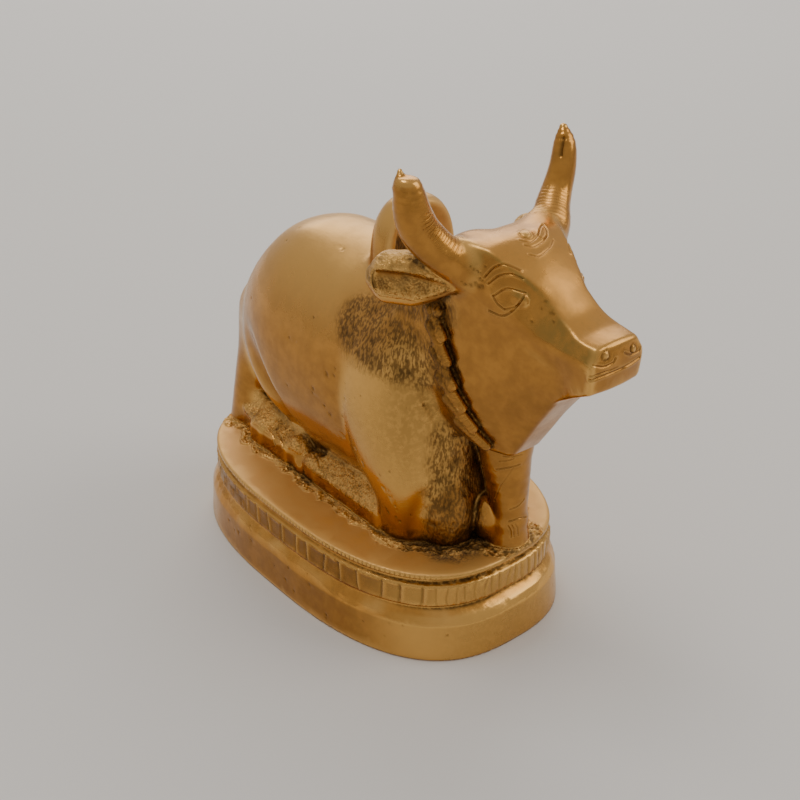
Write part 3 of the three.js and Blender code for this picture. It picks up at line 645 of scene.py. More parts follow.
def link(name, data):
    """A new object of the scene."""
    made = bpy.data.objects.new(name, data)
    bpy.context.scene.collection.objects.link(made)
    return made


def make_camera():
    right, up, ahead = camera_axes()
    data = bpy.data.cameras.new("camera")
    data.lens = CAMERA_LENS
    data.sensor_width = CAMERA_SENSOR
    camera = link("camera", data)
    turn = Matrix((right, up, -ahead)).transposed().to_4x4()
    camera.matrix_world = Matrix.Translation([v / 1000 for v in CAMERA_PLACE]) @ turn
    bpy.context.scene.camera = camera


def on_skin(pixels):
    """Where the photo's pixels land on the casting, in field millimetres."""
    right, up, ahead = camera_axes()
    eye = np.array(CAMERA_PLACE) - (0, 0, PLINTH_HEIGHT)
    focal = CAMERA_LENS / CAMERA_SENSOR * PHOTO_SIZE
    u, v = (np.array(pixels, float) - PHOTO_SIZE / 2).T
    ray = u[:, None] * right - v[:, None] * up + focal * ahead
    ray /= np.linalg.norm(ray, axis=1, keepdims=True)
    far = np.full(len(ray), RAY_START)
    for _ in range(RAY_STEPS):
        f = casting(*(eye + ray * far[:, None]).T)
        far += np.clip(f * 0.6, -2, 2)
    return eye + ray * far[:, None]


# Carved lines, traced on the photo: name, pixels along the line, width and depth in millimetres

HEAD_LINES = [
    ("upper lid", [(492.9, 295.8), (508.3, 288.4), (525.7, 293.1)], 0.15, 0.17),
    ("back of the eye", [(492.9, 295.8), (497.5, 303.5), (504.3, 309.2)], 0.14, 0.14),
    ("front of the eye", [(504.3, 309.2), (517.5, 305.5), (524.4, 297.1)], 0.14, 0.14),
    ("lower lid", [(488.9, 310.5), (500.5, 315.6), (513.5, 309.8), (525.4, 295)], 0.15, 0.18),
    ("lower brow", [(488.2, 283.2), (500.3, 275), (512, 274.2), (523.4, 278.6)], 0.16, 0.19),
    ("upper brow", [(484.2, 277), (494, 267.2), (506, 264.2), (520.4, 270.4)], 0.16, 0.19),
]
MARK_LINES = [
    ("boss rim left", [(519, 233), (523, 229.6), (528, 230.6), (531.6, 234.6)], 0.13, 0.11),
    ("boss rim right", [(531.6, 234.6), (528.6, 237.4), (523.4, 237), (519, 233)], 0.13, 0.11),
    ("flame left", [(542.5, 224.2), (539.6, 230), (539.2, 236), (543.6, 239.4)], 0.14, 0.15),
    ("flame right", [(542.5, 224.2), (547, 230), (547, 236), (543.6, 239.4)], 0.14, 0.15),
    ("inner crescent", [(519, 240.2), (531, 241.6), (537.6, 236), (539.8, 229)], 0.14, 0.13),
    ("middle crescent", [(523.6, 245), (534, 246.2), (543, 241), (547.4, 235)], 0.14, 0.13),
    ("outer crescent", [(528.4, 254.2), (539, 255.6), (549.8, 247.6), (553.8, 239.6)], 0.14, 0.12),
]
MUZZLE_LINES = [
    ("mouth", [(588.9, 380.4), (606, 374.9), (627, 365.6), (639.5, 357.4)], 0.22, 0.26),
    ("lip", [(589.6, 376.2), (604, 372.2), (618, 366.6)], 0.14, 0.1),
    ("right nostril", [(592.7, 365.4), (604.8, 366.8), (613, 362.6), (615.4, 358)], 0.18, 0.2),
    ("left nostril", [(624.6, 352.6), (632, 354.4), (638.4, 351.4), (640.8, 346.4)], 0.17, 0.18),
]
LEG_LINES = [
    ("knee fold", [(496, 469.6), (507, 467.8), (520, 464)], 0.14, 0.15),
    ("upper knee fold", [(503, 456.2), (512, 456.6), (522, 454.6)], 0.13, 0.11),
    ("short knee fold", [(499, 461.4), (506, 460.8), (514, 458.6)], 0.12, 0.09),
    ("seam", [(513.6, 467), (505, 480), (500, 487), (494.2, 501)], 0.12, 0.06),
    ("upper fetlock", [(510, 509.4), (518, 506), (524.5, 498.5)], 0.14, 0.16),
    ("lower fetlock", [(508.8, 521.5), (519, 518), (528, 508)], 0.14, 0.16),
    ("hoof stroke", [(508, 526), (510.5, 531), (511, 537)], 0.13, 0.12),
    ("second hoof stroke", [(511.4, 525), (513.8, 530), (514.2, 536)], 0.13, 0.12),
    ("front hoof stroke", [(515.4, 524), (517.6, 529), (518, 535)], 0.13, 0.12),
    ("hind claw", [(269, 428), (273.5, 436), (275.5, 444)], 0.2, 0.24),
    ("second hind claw", [(277, 431), (281, 439), (283, 447)], 0.2, 0.24),
    ("fore claw", [(313, 452), (317.5, 459), (319.5, 467)], 0.2, 0.22),
]
DARK_LINES = [
    ("gouge", [(563.5, 136.5), (562.5, 143), (561.2, 149.5), (560.8, 155)], 0.42, 0.44),
    ("ear slot", [(373.6, 271), (372.6, 279), (374.6, 287)], 0.36, 0.4),
]
HEAD_SHADE = 0.5
LINE_GROUPS = (
    (HEAD_LINES + MARK_LINES, HEAD_SHADE),
    (MUZZLE_LINES, 0.6),
    (LEG_LINES, 0.3),
    (DARK_LINES, 1),
)

# Beads of the nostrils and pitted spots: pixel and reach, then the bead's height or number of pits.
BEADS = [((606, 355.6), 0.75, 0.34), ((633.6, 348.4), 0.7, 0.3)]
PITTED_SPOTS = [
    ("behind the brow", (474.0, 276.0), 1.9, 16),
    ("bevel of the nose", (545.0, 310.0), 3.2, 10),
    ("knee", (392.0, 505.0), 4.0, 14),
    ("chest", (455.0, 500.0), 5.0, 16),
]

# More pitted zones, in field millimetres: centre, reach and number of pits.
PITTED_ZONES = [
    ((17, -19, 26), (9, 3, 14), 46),
    ((28, -13, 38), (7, 3, 10), 26),
    ((24, -19, 12), (6, 3, 9), 22),
    ((-8, -19, 30), (22, 3, 16), 22),
    ((0, 0, 55), (24, 12, 4), 14),
    ((12, 17, 26), (16, 3, 16), 24),
    ((0, -29, -14), (44, 2, 5), 26),
    ((40, -20, -12), (8, 8, 6), 10),
]


def smooth_line(points):
    """A smooth line through points on the skin, set back onto the skin."""
    path, _ = smooth_path(points, [0] * len(points), 13)
    return settle(casting, path.astype(np.float32), 3)


def carved_lines():
    """Every carved line with its width, its depth and the share of painted shade laid in its groove."""
    lines = []
    for group, shade in LINE_GROUPS:
        for _, pixels, width, depth in group:
            lines.append((smooth_line(on_skin(pixels)), width, depth, shade))
    for _, pixels, width, depth in HEAD_LINES:
        lines.append((smooth_line(on_skin(pixels) * (1, -1, 1)), width, depth, HEAD_SHADE))
    return lines


def line_distance(points, line):
    """Distance of each point from a broken line, up to a few millimetres."""
    best = np.full(len(points), FAR)
    low, high = line.min(0) - 2, line.max(0) + 2
    near = np.flatnonzero(((points > low) & (points < high)).all(1))
    if len(near):
        best[near] = rods(*points[near].T, [(a, b, 0, 0) for a, b in zip(line, line[1:])])
    return best


# Noise and the chased ground


def lattice(seed, size=32):
    return np.random.default_rng(seed).random((size, size, size)).astype(np.float32)


def noise(points, pitch, seed):
    """Smooth value noise from -1 to 1 with features about one pitch apart."""
    table = lattice(seed)
    at = points / np.asarray(pitch, np.float32)
    base = np.floor(at).astype(int)
    t = at - base
    t = t * t * (3 - 2 * t)
    total = 0
    for corner in np.ndindex(2, 2, 2):
        i, j, k = ((base + corner) % table.shape[0]).T
        weight = np.prod(np.where(corner, t, 1 - t), axis=1)
        total = total + weight * table[i, j, k]
    return total * 2 - 1


def punch_marks(points, pitch, seed):
    """Distance from the nearest of scattered punch marks, as a share of their pitch."""
    tables = [lattice(seed + k) for k in range(3)]
    at = points / pitch
    base = np.floor(at).astype(int)
    best = np.full(len(points), 9.0, np.float32)
    for corner in np.ndindex(3, 3, 3):
        cell = base + np.array(corner) - 1
        i, j, k = (cell % tables[0].shape[0]).T
        spot = cell + np.stack([t[i, j, k] for t in tables], 1)
        best = np.minimum(best, ((at - spot) ** 2).sum(1))
    return np.sqrt(best)


def ramp(v, low, high):
    t = np.clip((v - low) / (high - low), 0, 1)
    return t * t * (3 - 2 * t)


def window(v, low, full, still_full, high):
    """1 from full to still_full, falling off to 0 at low and high."""
    return ramp(v, low, full) * ramp(-v, -high, -still_full)


def bell(v, width):
    """1 where v is 0, falling off over the width."""
    return np.exp(-((v / width) ** 2))


# Rods that hold the punched ground: the neck's side, under the ear, the back of the throat.
PUNCHED_RODS = (
    ((16, 16, 47), (33, 12, 44), 7.5, 6.5),
    ((20, 12, 55), (36, 13, 56), 4.5, 4.0),
    ((33, 12, 50), (38, 8, 29), 2.4, 3.0),
)


def ground(points):
    """1 where the casting is punched all over and dark, 0 where it is polished."""
    x, y, z = points.T
    between_legs = bone(x, y, z, (34, -6.5, 1), (33.5, -6.5, 25), 7.0, 5.6)
    best = np.minimum(rods(x, np.abs(y), z, PUNCHED_RODS), between_legs)
    soft = ramp(-best + 1.2 * noise(points, 3.0, 90), -1.5, 2.2)
    on_hump = face_of_hump(y, z) + 9 * (np.abs(x - 15.8) > 1.4)
    return np.maximum(soft, ramp(-on_hump, -0.3, 0.5))


def chased(points, normals):
    """Where the metal is left as cast, lumpy and bright: the ears and the leg tops."""
    x, y, z = points.T
    on_ears = ramp(0.8 - ears(x, y, z), -0.3, 0.5) * ramp(normals[:, 2], -0.35, 0.05)
    leg_tops = np.minimum(
        bone(x, np.abs(y), z, (-36, 10.5, 7), (-12, 11, 6), 4.5, 4.0),
        bone(x, y, z, (-6, -12, 5), (16, -13.5, 6), 4.0, 4.0),
    )
    on_legs = ramp(-leg_tops, -0.3, 0.5) * ramp(normals[:, 2], 0.15, 0.45)
    return np.maximum(on_ears, on_legs)


def sides(points, normals):
    """Painted shade on faces that stand upright or look down, which are left darker than the tops."""
    return ramp(0.5 + 0.12 * noise(points, 9.0, 98) - normals[:, 2], 0, 0.5)


def satin(points, normals):
    """Where the metal is brushed: the plinth's top, the brow, the hump's front and the back."""
    x, y, z = points.T
    plinth_top = ramp(-np.abs(z), -0.9, -0.4) * ramp(normals[:, 2], 0.5, 0.9)
    brow = 0.42 * ramp(x, 34, 38) * ramp(z, 58, 60) * ramp(normals[:, 2], 0.55, 0.8)
    hump_front = window(x, 13.5, 15.5, 16.2, 17) * ramp(z, 54, 56)
    back = 0.42 * ramp(normals[:, 2], 0.05, 0.5) * ramp(z, 26, 36) * ramp(-x, -28, -16)
    return np.maximum.reduce([plinth_top, brow, hump_front, back])


def aged(points, normals):
    """Where a thin olive film has stayed: the slanting planes beside the brow and nose."""
    x, _, z = points.T
    slanting = ramp(np.abs(normals[:, 1]), 0.35, 0.55) * window(normals[:, 2], 0.22, 0.38, 0.85, 0.93)
    return slanting * ramp(x, 40, 44) * ramp(z, 54, 57)


def bank(points, normals):
    """Height of the rough bank of metal along the foot of the figure, its painted shade at the foot of the
    wall and towards the chest, and its points.
    """
    height, dark = blank(points), blank(points)
    low = np.flatnonzero((np.abs(points[:, 2]) < 1.4) & (normals[:, 2] > 0.3))
    spots = points[low]
    gap = np.maximum(bull(*spots.T), 0)
    wide = 1.9 + 1.0 * noise(spots, 2.4, 95) + 1.0 * ramp(spots[:, 0], 18, 36)
    near = ramp(wide + 0.7 - gap, 0, 0.9) * ramp(normals[low, 2], 0.3, 0.7)
    lumps = noise(spots, 1.3, 93) + 0.6 * noise(spots, 0.6, 94)
    height[low] = near * (0.18 + 0.4 * lumps)
    # Painted shade: in the gap at the foot of the figure's wall and in the bank's low spots, deeper
    # towards the chest.
    shade = ramp(spots[:, 0], 14, 30)
    wall_foot_shade = ramp(0.55 + 0.7 * shade - gap, 0, 0.5) * ramp(0.25 - lumps, -0.1, 0.4)
    dark[low] = near * np.maximum(wall_foot_shade, ramp(-lumps, 0.35, 0.8) * (0.35 + 0.5 * shade))
    return height, dark, low[near > 0.05]


def pit_marks():
    """Places and radii of the small casting pits."""
    rng = np.random.default_rng(7)
    zones = PITTED_ZONES + [(on_skin([pixel])[0], reach, count) for _, pixel, reach, count in PITTED_SPOTS]
    spots = []
    for centre, reach, count in zones:
        spots.append(np.array(centre) + (rng.random((count, 3)) * 2 - 1) * reach)
    spots = settle(casting, np.concatenate(spots).astype(np.float32), 6)
    return spots, 0.14 + 0.22 * rng.random(len(spots)) ** 2


def distance_along_rim(x, y):
    """Length along the plinth's oval from its front, and its whole length."""
    turn = np.linspace(0, 2 * math.pi, 1441)
    bend = 2 / OVAL_POWER
    c, s = np.cos(turn), np.sin(turn)
    rim_x = PLINTH_LENGTH / 2 * np.sign(c) * np.abs(c) ** bend
    rim_y = PLINTH_WIDTH / 2 * np.sign(s) * np.abs(s) ** bend
    run = np.r_[0, np.cumsum(np.hypot(np.diff(rim_x), np.diff(rim_y)))]
    shown = np.unwrap(np.arctan2(rim_y, rim_x))
    angle = np.mod(np.arctan2(y, x), 2 * math.pi)
    return np.interp(angle, shown, run), run[-1]


def band_strokes(run, total, z, inside):
    """Depth of the band's upright strokes, and height of the ribs beside them."""
    rng = np.random.default_rng(11)
    cuts, ribs = blank(z), blank(z)

    def stroke(place, row, width, deep, rib):
        lean = 0.24 * (rng.random() - 0.5)
        away = (run - place - lean * (z - BAND_FOOT) + total / 2) % total - total / 2
        share = inside * row
        np.maximum(cuts, deep * bell(away, width) * share, out=cuts)
        np.maximum(ribs, rib * bell(away - 1.9 * width, width) * share, out=ribs)

    for place in np.arange(-FINE_STROKES_REACH, FINE_STROKES_REACH, FINE_PITCH):
        stroke(place % total, 1, *FINE_STROKE)
    upper_row = ramp(z - BAND_MIDDLE, -0.15, 0.15)
    for place in np.arange(FINE_STROKES_REACH + 1, total - FINE_STROKES_REACH - 1, BLOCK_PITCH):
        nudged = place + 1.2 * (rng.random() - 0.5)
        if min(place, total - place) < BRICKS_FROM:
            stroke(nudged, 1, *BLOCK_EDGE)
        else:
            stroke(nudged, upper_row, *BRICK_EDGE)
            stroke(nudged + BLOCK_PITCH / 2, 1 - upper_row, *BRICK_EDGE)
    return cuts, ribs


def band_relief(points):
    """Depth below the plain band of its blocks, bricks and fine strokes, and the painted shade in their
    cuts and on the sunk faces of the blocks.

    Fine strokes stand round the front of the plinth, blocks with raised ribs along its sides,
    and courses of bricks towards its back.
    """
    x, y, z = points.T
    run, total = distance_along_rim(x, y)
    from_front = np.minimum(run, total - run)
    inside = window(z, BAND_FOOT - 0.1, BAND_FOOT + 0.5, BAND_TOP - 0.5, BAND_TOP + 0.1)
    cuts, ribs = band_strokes(run + 0.35 * noise(points, 3.0, 23), total, z, inside)
    bricks = ramp(from_front, BRICKS_FROM - 6, BRICKS_FROM)
    course = bell(z - BAND_MIDDLE - 0.2 * noise(points, 5, 24), 0.28) * bricks * inside
    cuts = np.maximum(cuts, 0.22 * course)
    rails = bell(z - BAND_TOP + 0.45, 0.3) + bell(z - BAND_FOOT - 0.4, 0.3)
    blocks = ramp(from_front, FINE_STROKES_REACH - 3, FINE_STROKES_REACH + 3)
    ribs = np.maximum(ribs, 0.3 * rails * inside * blocks * (0.7 + 0.6 * noise(points, 2.2, 25)))
    ledge = window(z - BAND_FOOT, -4.6, -2.6, -1.2, -0.2)
    waves = 0.2 * noise(points, 5.0, 26) + 0.08 * noise(points, 1.7, 27)
    # Painted shade on the sunk faces of the blocks, kept off the ribs.
    faces = 0.4 * inside * blocks * (1 - np.clip(ribs / 0.2, 0, 1))
    sunk = 0.16 * inside * blocks
    return cuts + sunk - ribs - ledge * waves, np.clip(np.maximum(cuts / 0.3, faces), 0, 1)


def spread(points, on, values):
    """The values at the chosen points, and 0 at all others."""
    out = blank(points)
    out[on] = values
    return out


def along_rods(points, rods):
    """Length along the nearest rod (start, end, length before it), and distance from it."""
    best = np.full(len(points), FAR)
    along = blank(points)
    for a, b, before in rods:
        span = (b - a).astype(np.float32)
        t = np.clip(((points - a) @ span) / (span @ span), 0, 1)
        d = np.linalg.norm(points - a - t[:, None] * span, axis=1)
        along = np.where(d < best, before + t * np.linalg.norm(span), along)
        best = np.minimum(best, d)
    return along, best


def horn_hatching(points):
    """Turns and strength of the fine rings on the inner and front side of each horn."""
    turns, amount = blank(points), blank(points)
    for side, (path, _), last, most in ((1, LEFT_HORN, 9.5, 0.35), (-1, RIGHT_HORN, 13.5, 0.65)):
        near = np.flatnonzero((points[:, 2] > 65) & (points[:, 1] * side > 5) & (points[:, 0] > 26))
        spots = points[near] * np.array([1, side, 1], np.float32)
        run = path_lengths(path)
        along, away = along_rods(spots, zip(path[:-1], path[1:], run))
        inner = ramp(np.interp(along, run, path[:, 1]) - spots[:, 1], -1.4, 0.8)
        on_horn = most * ramp(-away, -5.0, -4.4) * window(along, 3, 4.5, last, last + 2)
        turns[near] = along / 0.8 + 0.35 * noise(spots, 1.6, 5)
        amount[near] = on_horn * inner
    return turns, amount


def strand_axes(points):
    """Points on the collar, their lengths along the nearest strand and distances from it."""
    x, y, z = points.T
    on = np.flatnonzero((collar(x, y, z) < 0.3) & (x > 26))
    spots = np.stack([x[on], np.abs(y[on]), z[on]], 1)
    return on, *along_rods(spots, [(a, b, 0) for a, b in STRANDS])


def strand_hatching(points):
    """Turns and strength of the fine nicks across the strands of the collar."""
    on, along, _ = strand_axes(points)
    turns = along / 0.9 + 0.9 * noise(points[on], 1.4, 8)
    return spread(points, on, turns), spread(points, on, 0.3)


def strand_gaps(points):
    """How deep each point lies between two strands of the collar, from 0 to 1."""
    on, _, away = strand_axes(points)
    return spread(points, on, ramp(away, 1.0, 1.65))


def ear_hollow(points):
    """1 in the hollows of the ears, 0 outside them."""
    x, y, z = points.T
    inside = blank(points)
    for side, centre in ((1, LEFT_EAR), (-1, RIGHT_EAR)):
        leaf = ear_leaf(x, side * y, z, centre)[0]
        on = (side * y > 7) & (z > 52) & (x > 18) & (x < 46)
        inside = np.maximum(inside, on * ramp(-leaf, 0.35, 1.1))
    return inside


def hump_hatching(points):
    """Turns and strength of the file marks in the sunk face of the hump."""
    x, y, z = points.T
    inside = ramp(-face_of_hump(y, z), -0.3, 0.3) * window(x, 14, 14.8, 17, 17.5) * (z > 52)
    return y / 0.55 + 0.8 * noise(points, (2.0, 1.0, 3.0), 51), inside


def lip_hatching(points):
    """Turns and strength of the short ticks below the plinth's rim, at its sides."""
    x, y, z = points.T
    run, total = distance_along_rim(x, y)
    from_front = np.minimum(run, total - run)
    on_lip = window(z, -LIP_HEIGHT - 0.5, -LIP_HEIGHT - 0.1, -0.3, -0.05)
    outside = ramp(oval(x, y, 43.6, 26.2), 0.98, 1.02)
    on_lip = on_lip * (0.75 + 0.25 * noise(points, 2.2, 22))
    turns = run / 1.1 + 0.25 * noise(points, 3.0, 21)
    return turns, on_lip * outside * window(from_front, 12, 20, 78, 96)


def hatching(points):
    """Turns and strength of all fine hatching."""
    turns, amount = hump_hatching(points)
    for more_turns, more in (horn_hatching(points), strand_hatching(points), lip_hatching(points)):
        turns = np.where(more > amount, more_turns, turns)
        amount = np.maximum(amount, more)
    return turns, amount


def set_beads(points, depth, mark):
    """Raises the beads of the nostrils, each inside a shallow groove with painted shade."""
    for pixel, radius, height in BEADS:
        d = np.linalg.norm(points - on_skin([pixel])[0], axis=1)
        depth -= height * np.sqrt(np.clip(1 - (d / radius) ** 2, 0, 1))
        ring = bell(d - radius * 1.15, 0.2)
        depth += 0.16 * ring
        np.maximum(mark, ring, out=mark)


def engrave(points, depth, mark, lines):
    """Cuts the carved lines and paints shade into their grooves, with a low lip beside all but the
    darkest.
    """
    for line, width, deep, shade in lines:
        d = line_distance(points, line)
        groove = bell(d, width)
        lip = 0.35 * (shade < 1) * bell(d - 2.1 * width, width)
        depth += deep * (groove - lip)
        np.maximum(mark, shade * groove, out=mark)


def drill_pits(points, depth, mark):
    # Each pit is sunk and gets painted shade.
    for place, radius in zip(*pit_marks()):
        near = (np.abs(points - place) < 1).all(1)
        hole = bell(np.linalg.norm(points[near] - place, axis=1), radius)
        depth[near] += radius * 0.8 * hole
        mark[near] = np.maximum(mark[near], hole)


def rough_ground(points, punched, lumpy):
    """Depth of the punched strokes, and of the lumps on the metal left as cast."""
    on = np.flatnonzero(punched > 0.02)
    spots = points[on]
    down, across = np.array([0.6, 0, -0.8]), np.array([0.8, 0, 0.6])
    stroke = np.stack([spots @ down / 1.5, spots @ across / 0.65, spots[:, 1] / 1.0], 1)
    strokes = 0.11 * (1 - ramp(punch_marks(stroke, 1.0, 31), 0.12, 0.62))
    waves = 0.16 * noise(spots, 2.8, 41) + 0.08 * noise(spots, 1.2, 42)
    depth = spread(points, on, (strokes - waves) * punched[on])
    on = np.flatnonzero(lumpy > 0.02)
    spots = points[on]
    lumps = 0.2 * noise(spots, 2.6, 43) + 0.13 * noise(spots, 1.0, 44)
    depth[on] -= lumps * lumpy[on]
    return depth


def carve(points, normals, lines):
    """Depth below the plain skin at each point, and the marks that go with it; the dark mark is painted
    shade in pits, grooves, gaps and hollows.
    """
    punched = ground(points)
    lumpy = chased(points, normals)
    depth = rough_ground(points, punched, lumpy)
    # Painted shade in the deeper spots of the punched and lumpy ground.
    mark = np.clip(depth / 0.3, 0, 1)
    relief, relief_mark = band_relief(points)
    height, bank_mark, _ = bank(points, normals)
    _, filed = hump_hatching(points)
    gaps = strand_gaps(points)
    depth += relief - height
    depth += 0.34 * gaps
    # Painted shade in the ear hollows, between the collar's strands and on the hump's filed face.
    hollow = ear_hollow(points) * (0.45 + 0.35 * noise(points, 1.3, 97))
    mark = np.maximum.reduce([mark, relief_mark, bank_mark, 0.6 * filed, 0.6 * gaps, hollow])
    lumpy = np.maximum(lumpy, ramp(height + bank_mark, 0.02, 0.2))
    engrave(points, depth, mark, lines)
    set_beads(points, depth, mark)
    drill_pits(points, depth, mark)
    raised = np.clip(-depth / 0.25, 0, 1)
    depth += 0.07 * noise(points, 7.0, 61) + 0.03 * noise(points, 2.6, 62)
    return depth, {"dark": np.clip(mark, 0, 1), "raised": raised, "punched": punched, "lumpy": lumpy}


def ridges(points, normals):
    """1 on sharp outer edges, which get a painted highlight that also stands for wear, and 0 on broad
    faces.
    """
    inner = -in_chunks(casting, points - normals * RIDGE_REACH) / RIDGE_REACH
    return ramp(1 - inner, 0.06, 0.3)


def openness(points, normals):
    """1 on open skin, towards 0 deep in a crevice; it sets how much painted shade lies there."""
    total = blank(points)
    for reach in (0.6, 1.4, 3.0):
        total += np.clip(in_chunks(casting, points + normals * reach) / reach, 0, 1)
    return total / 3


def fine_mesh(carved):
    """Points and triangles of the plain skin, finer along the carved lines and the bank."""
    values, lines = sample(casting, grid_lines(GRID_STEP))
    points, quads = surface_nets(values, lines)
    points = settle(casting, points, 2)
    triangles = np.concatenate([quads[:, [0, 1, 2]], quads[:, [0, 2, 3]]])
    for reach, with_bank in ((1.0, True), (0.6, False)):
        near = np.minimum.reduce([line_distance(points, line) for line, *_ in carved])
        if with_bank:
            near[bank(points, slope(casting, points))[2]] = 0
        points, triangles = refine(points, triangles, near[triangles].min(1) < reach)
    return settle(casting, points, 1), triangles


SKIN_MARKS = (("open", openness), ("satin", satin), ("sides", sides), ("ridge", ridges), ("aged", aged))


def skin():
    """Points, triangles and marks of the finished casting, in field millimetres."""
    carved = carved_lines()
    points, triangles = fine_mesh(carved)
    normals = slope(casting, points)
    normals /= np.maximum(np.linalg.norm(normals, axis=1, keepdims=True), 1e-6)
    depth, marks = carve(points, normals, carved)
    above_foot = ramp(points[:, 2] + PLINTH_HEIGHT, 0.3, 1.0)
    marks["dark"] *= above_foot
    for name, mark in SKIN_MARKS:
        marks[name] = mark(points, normals)
    marks["satin"] *= 1 - marks["lumpy"]
    marks["turns"], marks["hatched"] = hatching(points)
    return points - normals * (depth * above_foot)[:, None], triangles, marks


def thin_out(piece, count):
    """Joins the smallest of a piece's triangles until no more than MOST_TRIANGLES are left."""
    if count <= MOST_TRIANGLES:
        return
    fewer = piece.modifiers.new("fewer faces", "DECIMATE")
    fewer.ratio = MOST_TRIANGLES / count
    fewer.use_collapse_triangulate = True
    graph = bpy.context.evaluated_depsgraph_get()
    small = bpy.data.meshes.new_from_object(piece.evaluated_get(graph))
    piece.modifiers.remove(fewer)
    piece.data = small


def ease_into_box(mesh):
    """Lowers a tip that stands above the solid's box, and keeps every point inside the box."""
    corners = np.empty(len(mesh.vertices) * 3, np.float32)
    mesh.vertices.foreach_get("co", corners)
    corners = corners.reshape(-1, 3)
    top = cad_box[1][2]
    over = max(corners[:, 2].max() - top, 0)
    corners[:, 2] -= over * np.clip((corners[:, 2] - top) / TIP_EASE + 1, 0, 1)
    mesh.vertices.foreach_set("co", np.clip(corners, cad_box[0], cad_box[1]).ravel())


def make_bull():
    points, triangles, marks = skin()
    mesh = bpy.data.meshes.new("nandi_bull_casting")
    mesh.from_pydata((points + (0, 0, PLINTH_HEIGHT)) / 1000, [], triangles)
    for name, values in marks.items():
        layer = mesh.attributes.new(name, "FLOAT", "POINT")
        layer.data.foreach_set("value", values.astype(np.float32))
    mesh.validate()
    piece = link("bull_casting", mesh)
    thin_out(piece, len(triangles))
    ease_into_box(piece.data)
    piece.data.shade_smooth()
    piece.data.update()
    piece.data.materials.clear()
    piece.data.materials.append(brass())
    return piece


# Materials

POLISHED = (0.65, 0.308, 0.066, 1)
TARNISHED = (0.53, 0.247, 0.052, 1)
# Painted shade for faces that stand upright or look down.
PAINTED_SIDE_SHADE = (0.36, 0.17, 0.042, 1)
# Bright brass: the lighter grains of the lumpy metal, and the painted highlight on edges and raised parts.
BRIGHT = (0.8, 0.46, 0.13, 1)
SPECKED = (0.38, 0.205, 0.055, 1)
OLIVE = (0.34, 0.215, 0.06, 1)
MATT = (0.66, 0.35, 0.092, 1)
GROUND = (0.17, 0.088, 0.028, 1)
# Painted shade laid in crevices, grooves, gaps and pits.
PAINTED_CREVICE_SHADE = (0.055, 0.031, 0.012, 1)
FLOOR_DARK = (0.74, 0.72, 0.69, 1)
FLOOR_PALE = (0.78, 0.76, 0.73, 1)


class Nodes:
    """Short calls for a node material. An input is a value or an output of another node."""

    def __init__(self, name):
        self.material = bpy.data.materials.new(name)
        self.material.use_nodes = True
        self.tree = self.material.node_tree
        self.shader = self.tree.nodes["Principled BSDF"]
        self.place = self.add("ShaderNodeTexCoord", "Object", {})

    def put(self, value, socket):
        if isinstance(value, bpy.types.NodeSocket):
            self.tree.links.new(value, socket)
        else:
            socket.default_value = value

    def add(self, kind, output, inputs, **settings):
        node = self.tree.nodes.new(kind)
        for key, value in settings.items():
            setattr(node, key, value)
        for key, value in inputs.items():
            self.put(value, node.inputs[key])
        return node.outputs[output]

    def attribute(self, name):
        return self.add("ShaderNodeAttribute", "Fac", {}, attribute_name=name)

    def noise(self, scale, detail=3.0, roughness=0.55, stretch=None):
        place = self.place
        if stretch:
            place = self.add("ShaderNodeMapping", "Vector", {"Vector": place, "Scale": stretch})
        inputs = {"Vector": place, "Scale": scale, "Detail": detail, "Roughness": roughness}
        return self.add("ShaderNodeTexNoise", "Fac", inputs)

    def ramp(self, value, low, high, to_low=0.0, to_high=1.0):
        inputs = {"Value": value, "From Min": low, "From Max": high, "To Min": to_low, "To Max": to_high}
        return self.add("ShaderNodeMapRange", "Result", inputs, interpolation_type="SMOOTHSTEP")

    def math(self, operation, a, b=0.0):
        return self.add("ShaderNodeMath", 0, {0: a, 1: b}, operation=operation, use_clamp=True)

    def times(self, a, b):
        return self.math("MULTIPLY", a, b)

    def most(self, a, b):
        return self.math("MAXIMUM", a, b)

    def mix(self, share, a, b):
        return self.add("ShaderNodeMix", "Result", {"Factor": share, "A": a, "B": b}, data_type="RGBA")

    def bump(self, height, distance, strength, under):
        inputs = {"Height": height, "Distance": distance, "Strength": strength}
        if under is not None:
            inputs["Normal"] = under
        return self.add("ShaderNodeBump", "Normal", inputs)


def brass_colour(n, blotch, specks, grain, strokes, crevice):
    """Polished metal, and over it in turn each share of another tone, painted shade and painted highlight
    among them.
    """
    lumpy = n.attribute("lumpy")
    # Painted highlight on sharp edges and raised parts, standing also for their wear.
    glint_and_wear = n.most(n.times(n.attribute("raised"), 0.7), n.times(n.attribute("ridge"), 0.8))
    colour = POLISHED
    for share, tone in (
        (n.ramp(blotch, 0.35, 0.68), TARNISHED),
        (n.times(n.ramp(specks, 0.5, 0.75), 0.35), SPECKED),
        # painted shade on upright and downward faces
        (n.times(n.attribute("sides"), n.ramp(blotch, 0.3, 0.7, 0.55, 0.9)), PAINTED_SIDE_SHADE),
        (n.times(n.attribute("aged"), n.ramp(blotch, 0.3, 0.62, 0.25, 0.85)), OLIVE),
        (n.times(n.attribute("satin"), n.ramp(blotch, 0.35, 0.62, 0.5, 0.95)), MATT),
        (n.times(lumpy, n.ramp(grain, 0.46, 0.36)), OLIVE),
        (n.times(lumpy, n.ramp(grain, 0.46, 0.56)), BRIGHT),
        # painted highlight on sharp edges and raised parts
        (glint_and_wear, BRIGHT),
        (n.times(n.attribute("punched"), n.ramp(strokes, 0.4, 0.6, 0.85, 0.2)), GROUND),
        # painted shade in crevices, grooves, gaps and pits
        (n.times(crevice, 0.85), PAINTED_CREVICE_SHADE),
    ):
        colour = n.mix(share, colour, tone)
    return colour


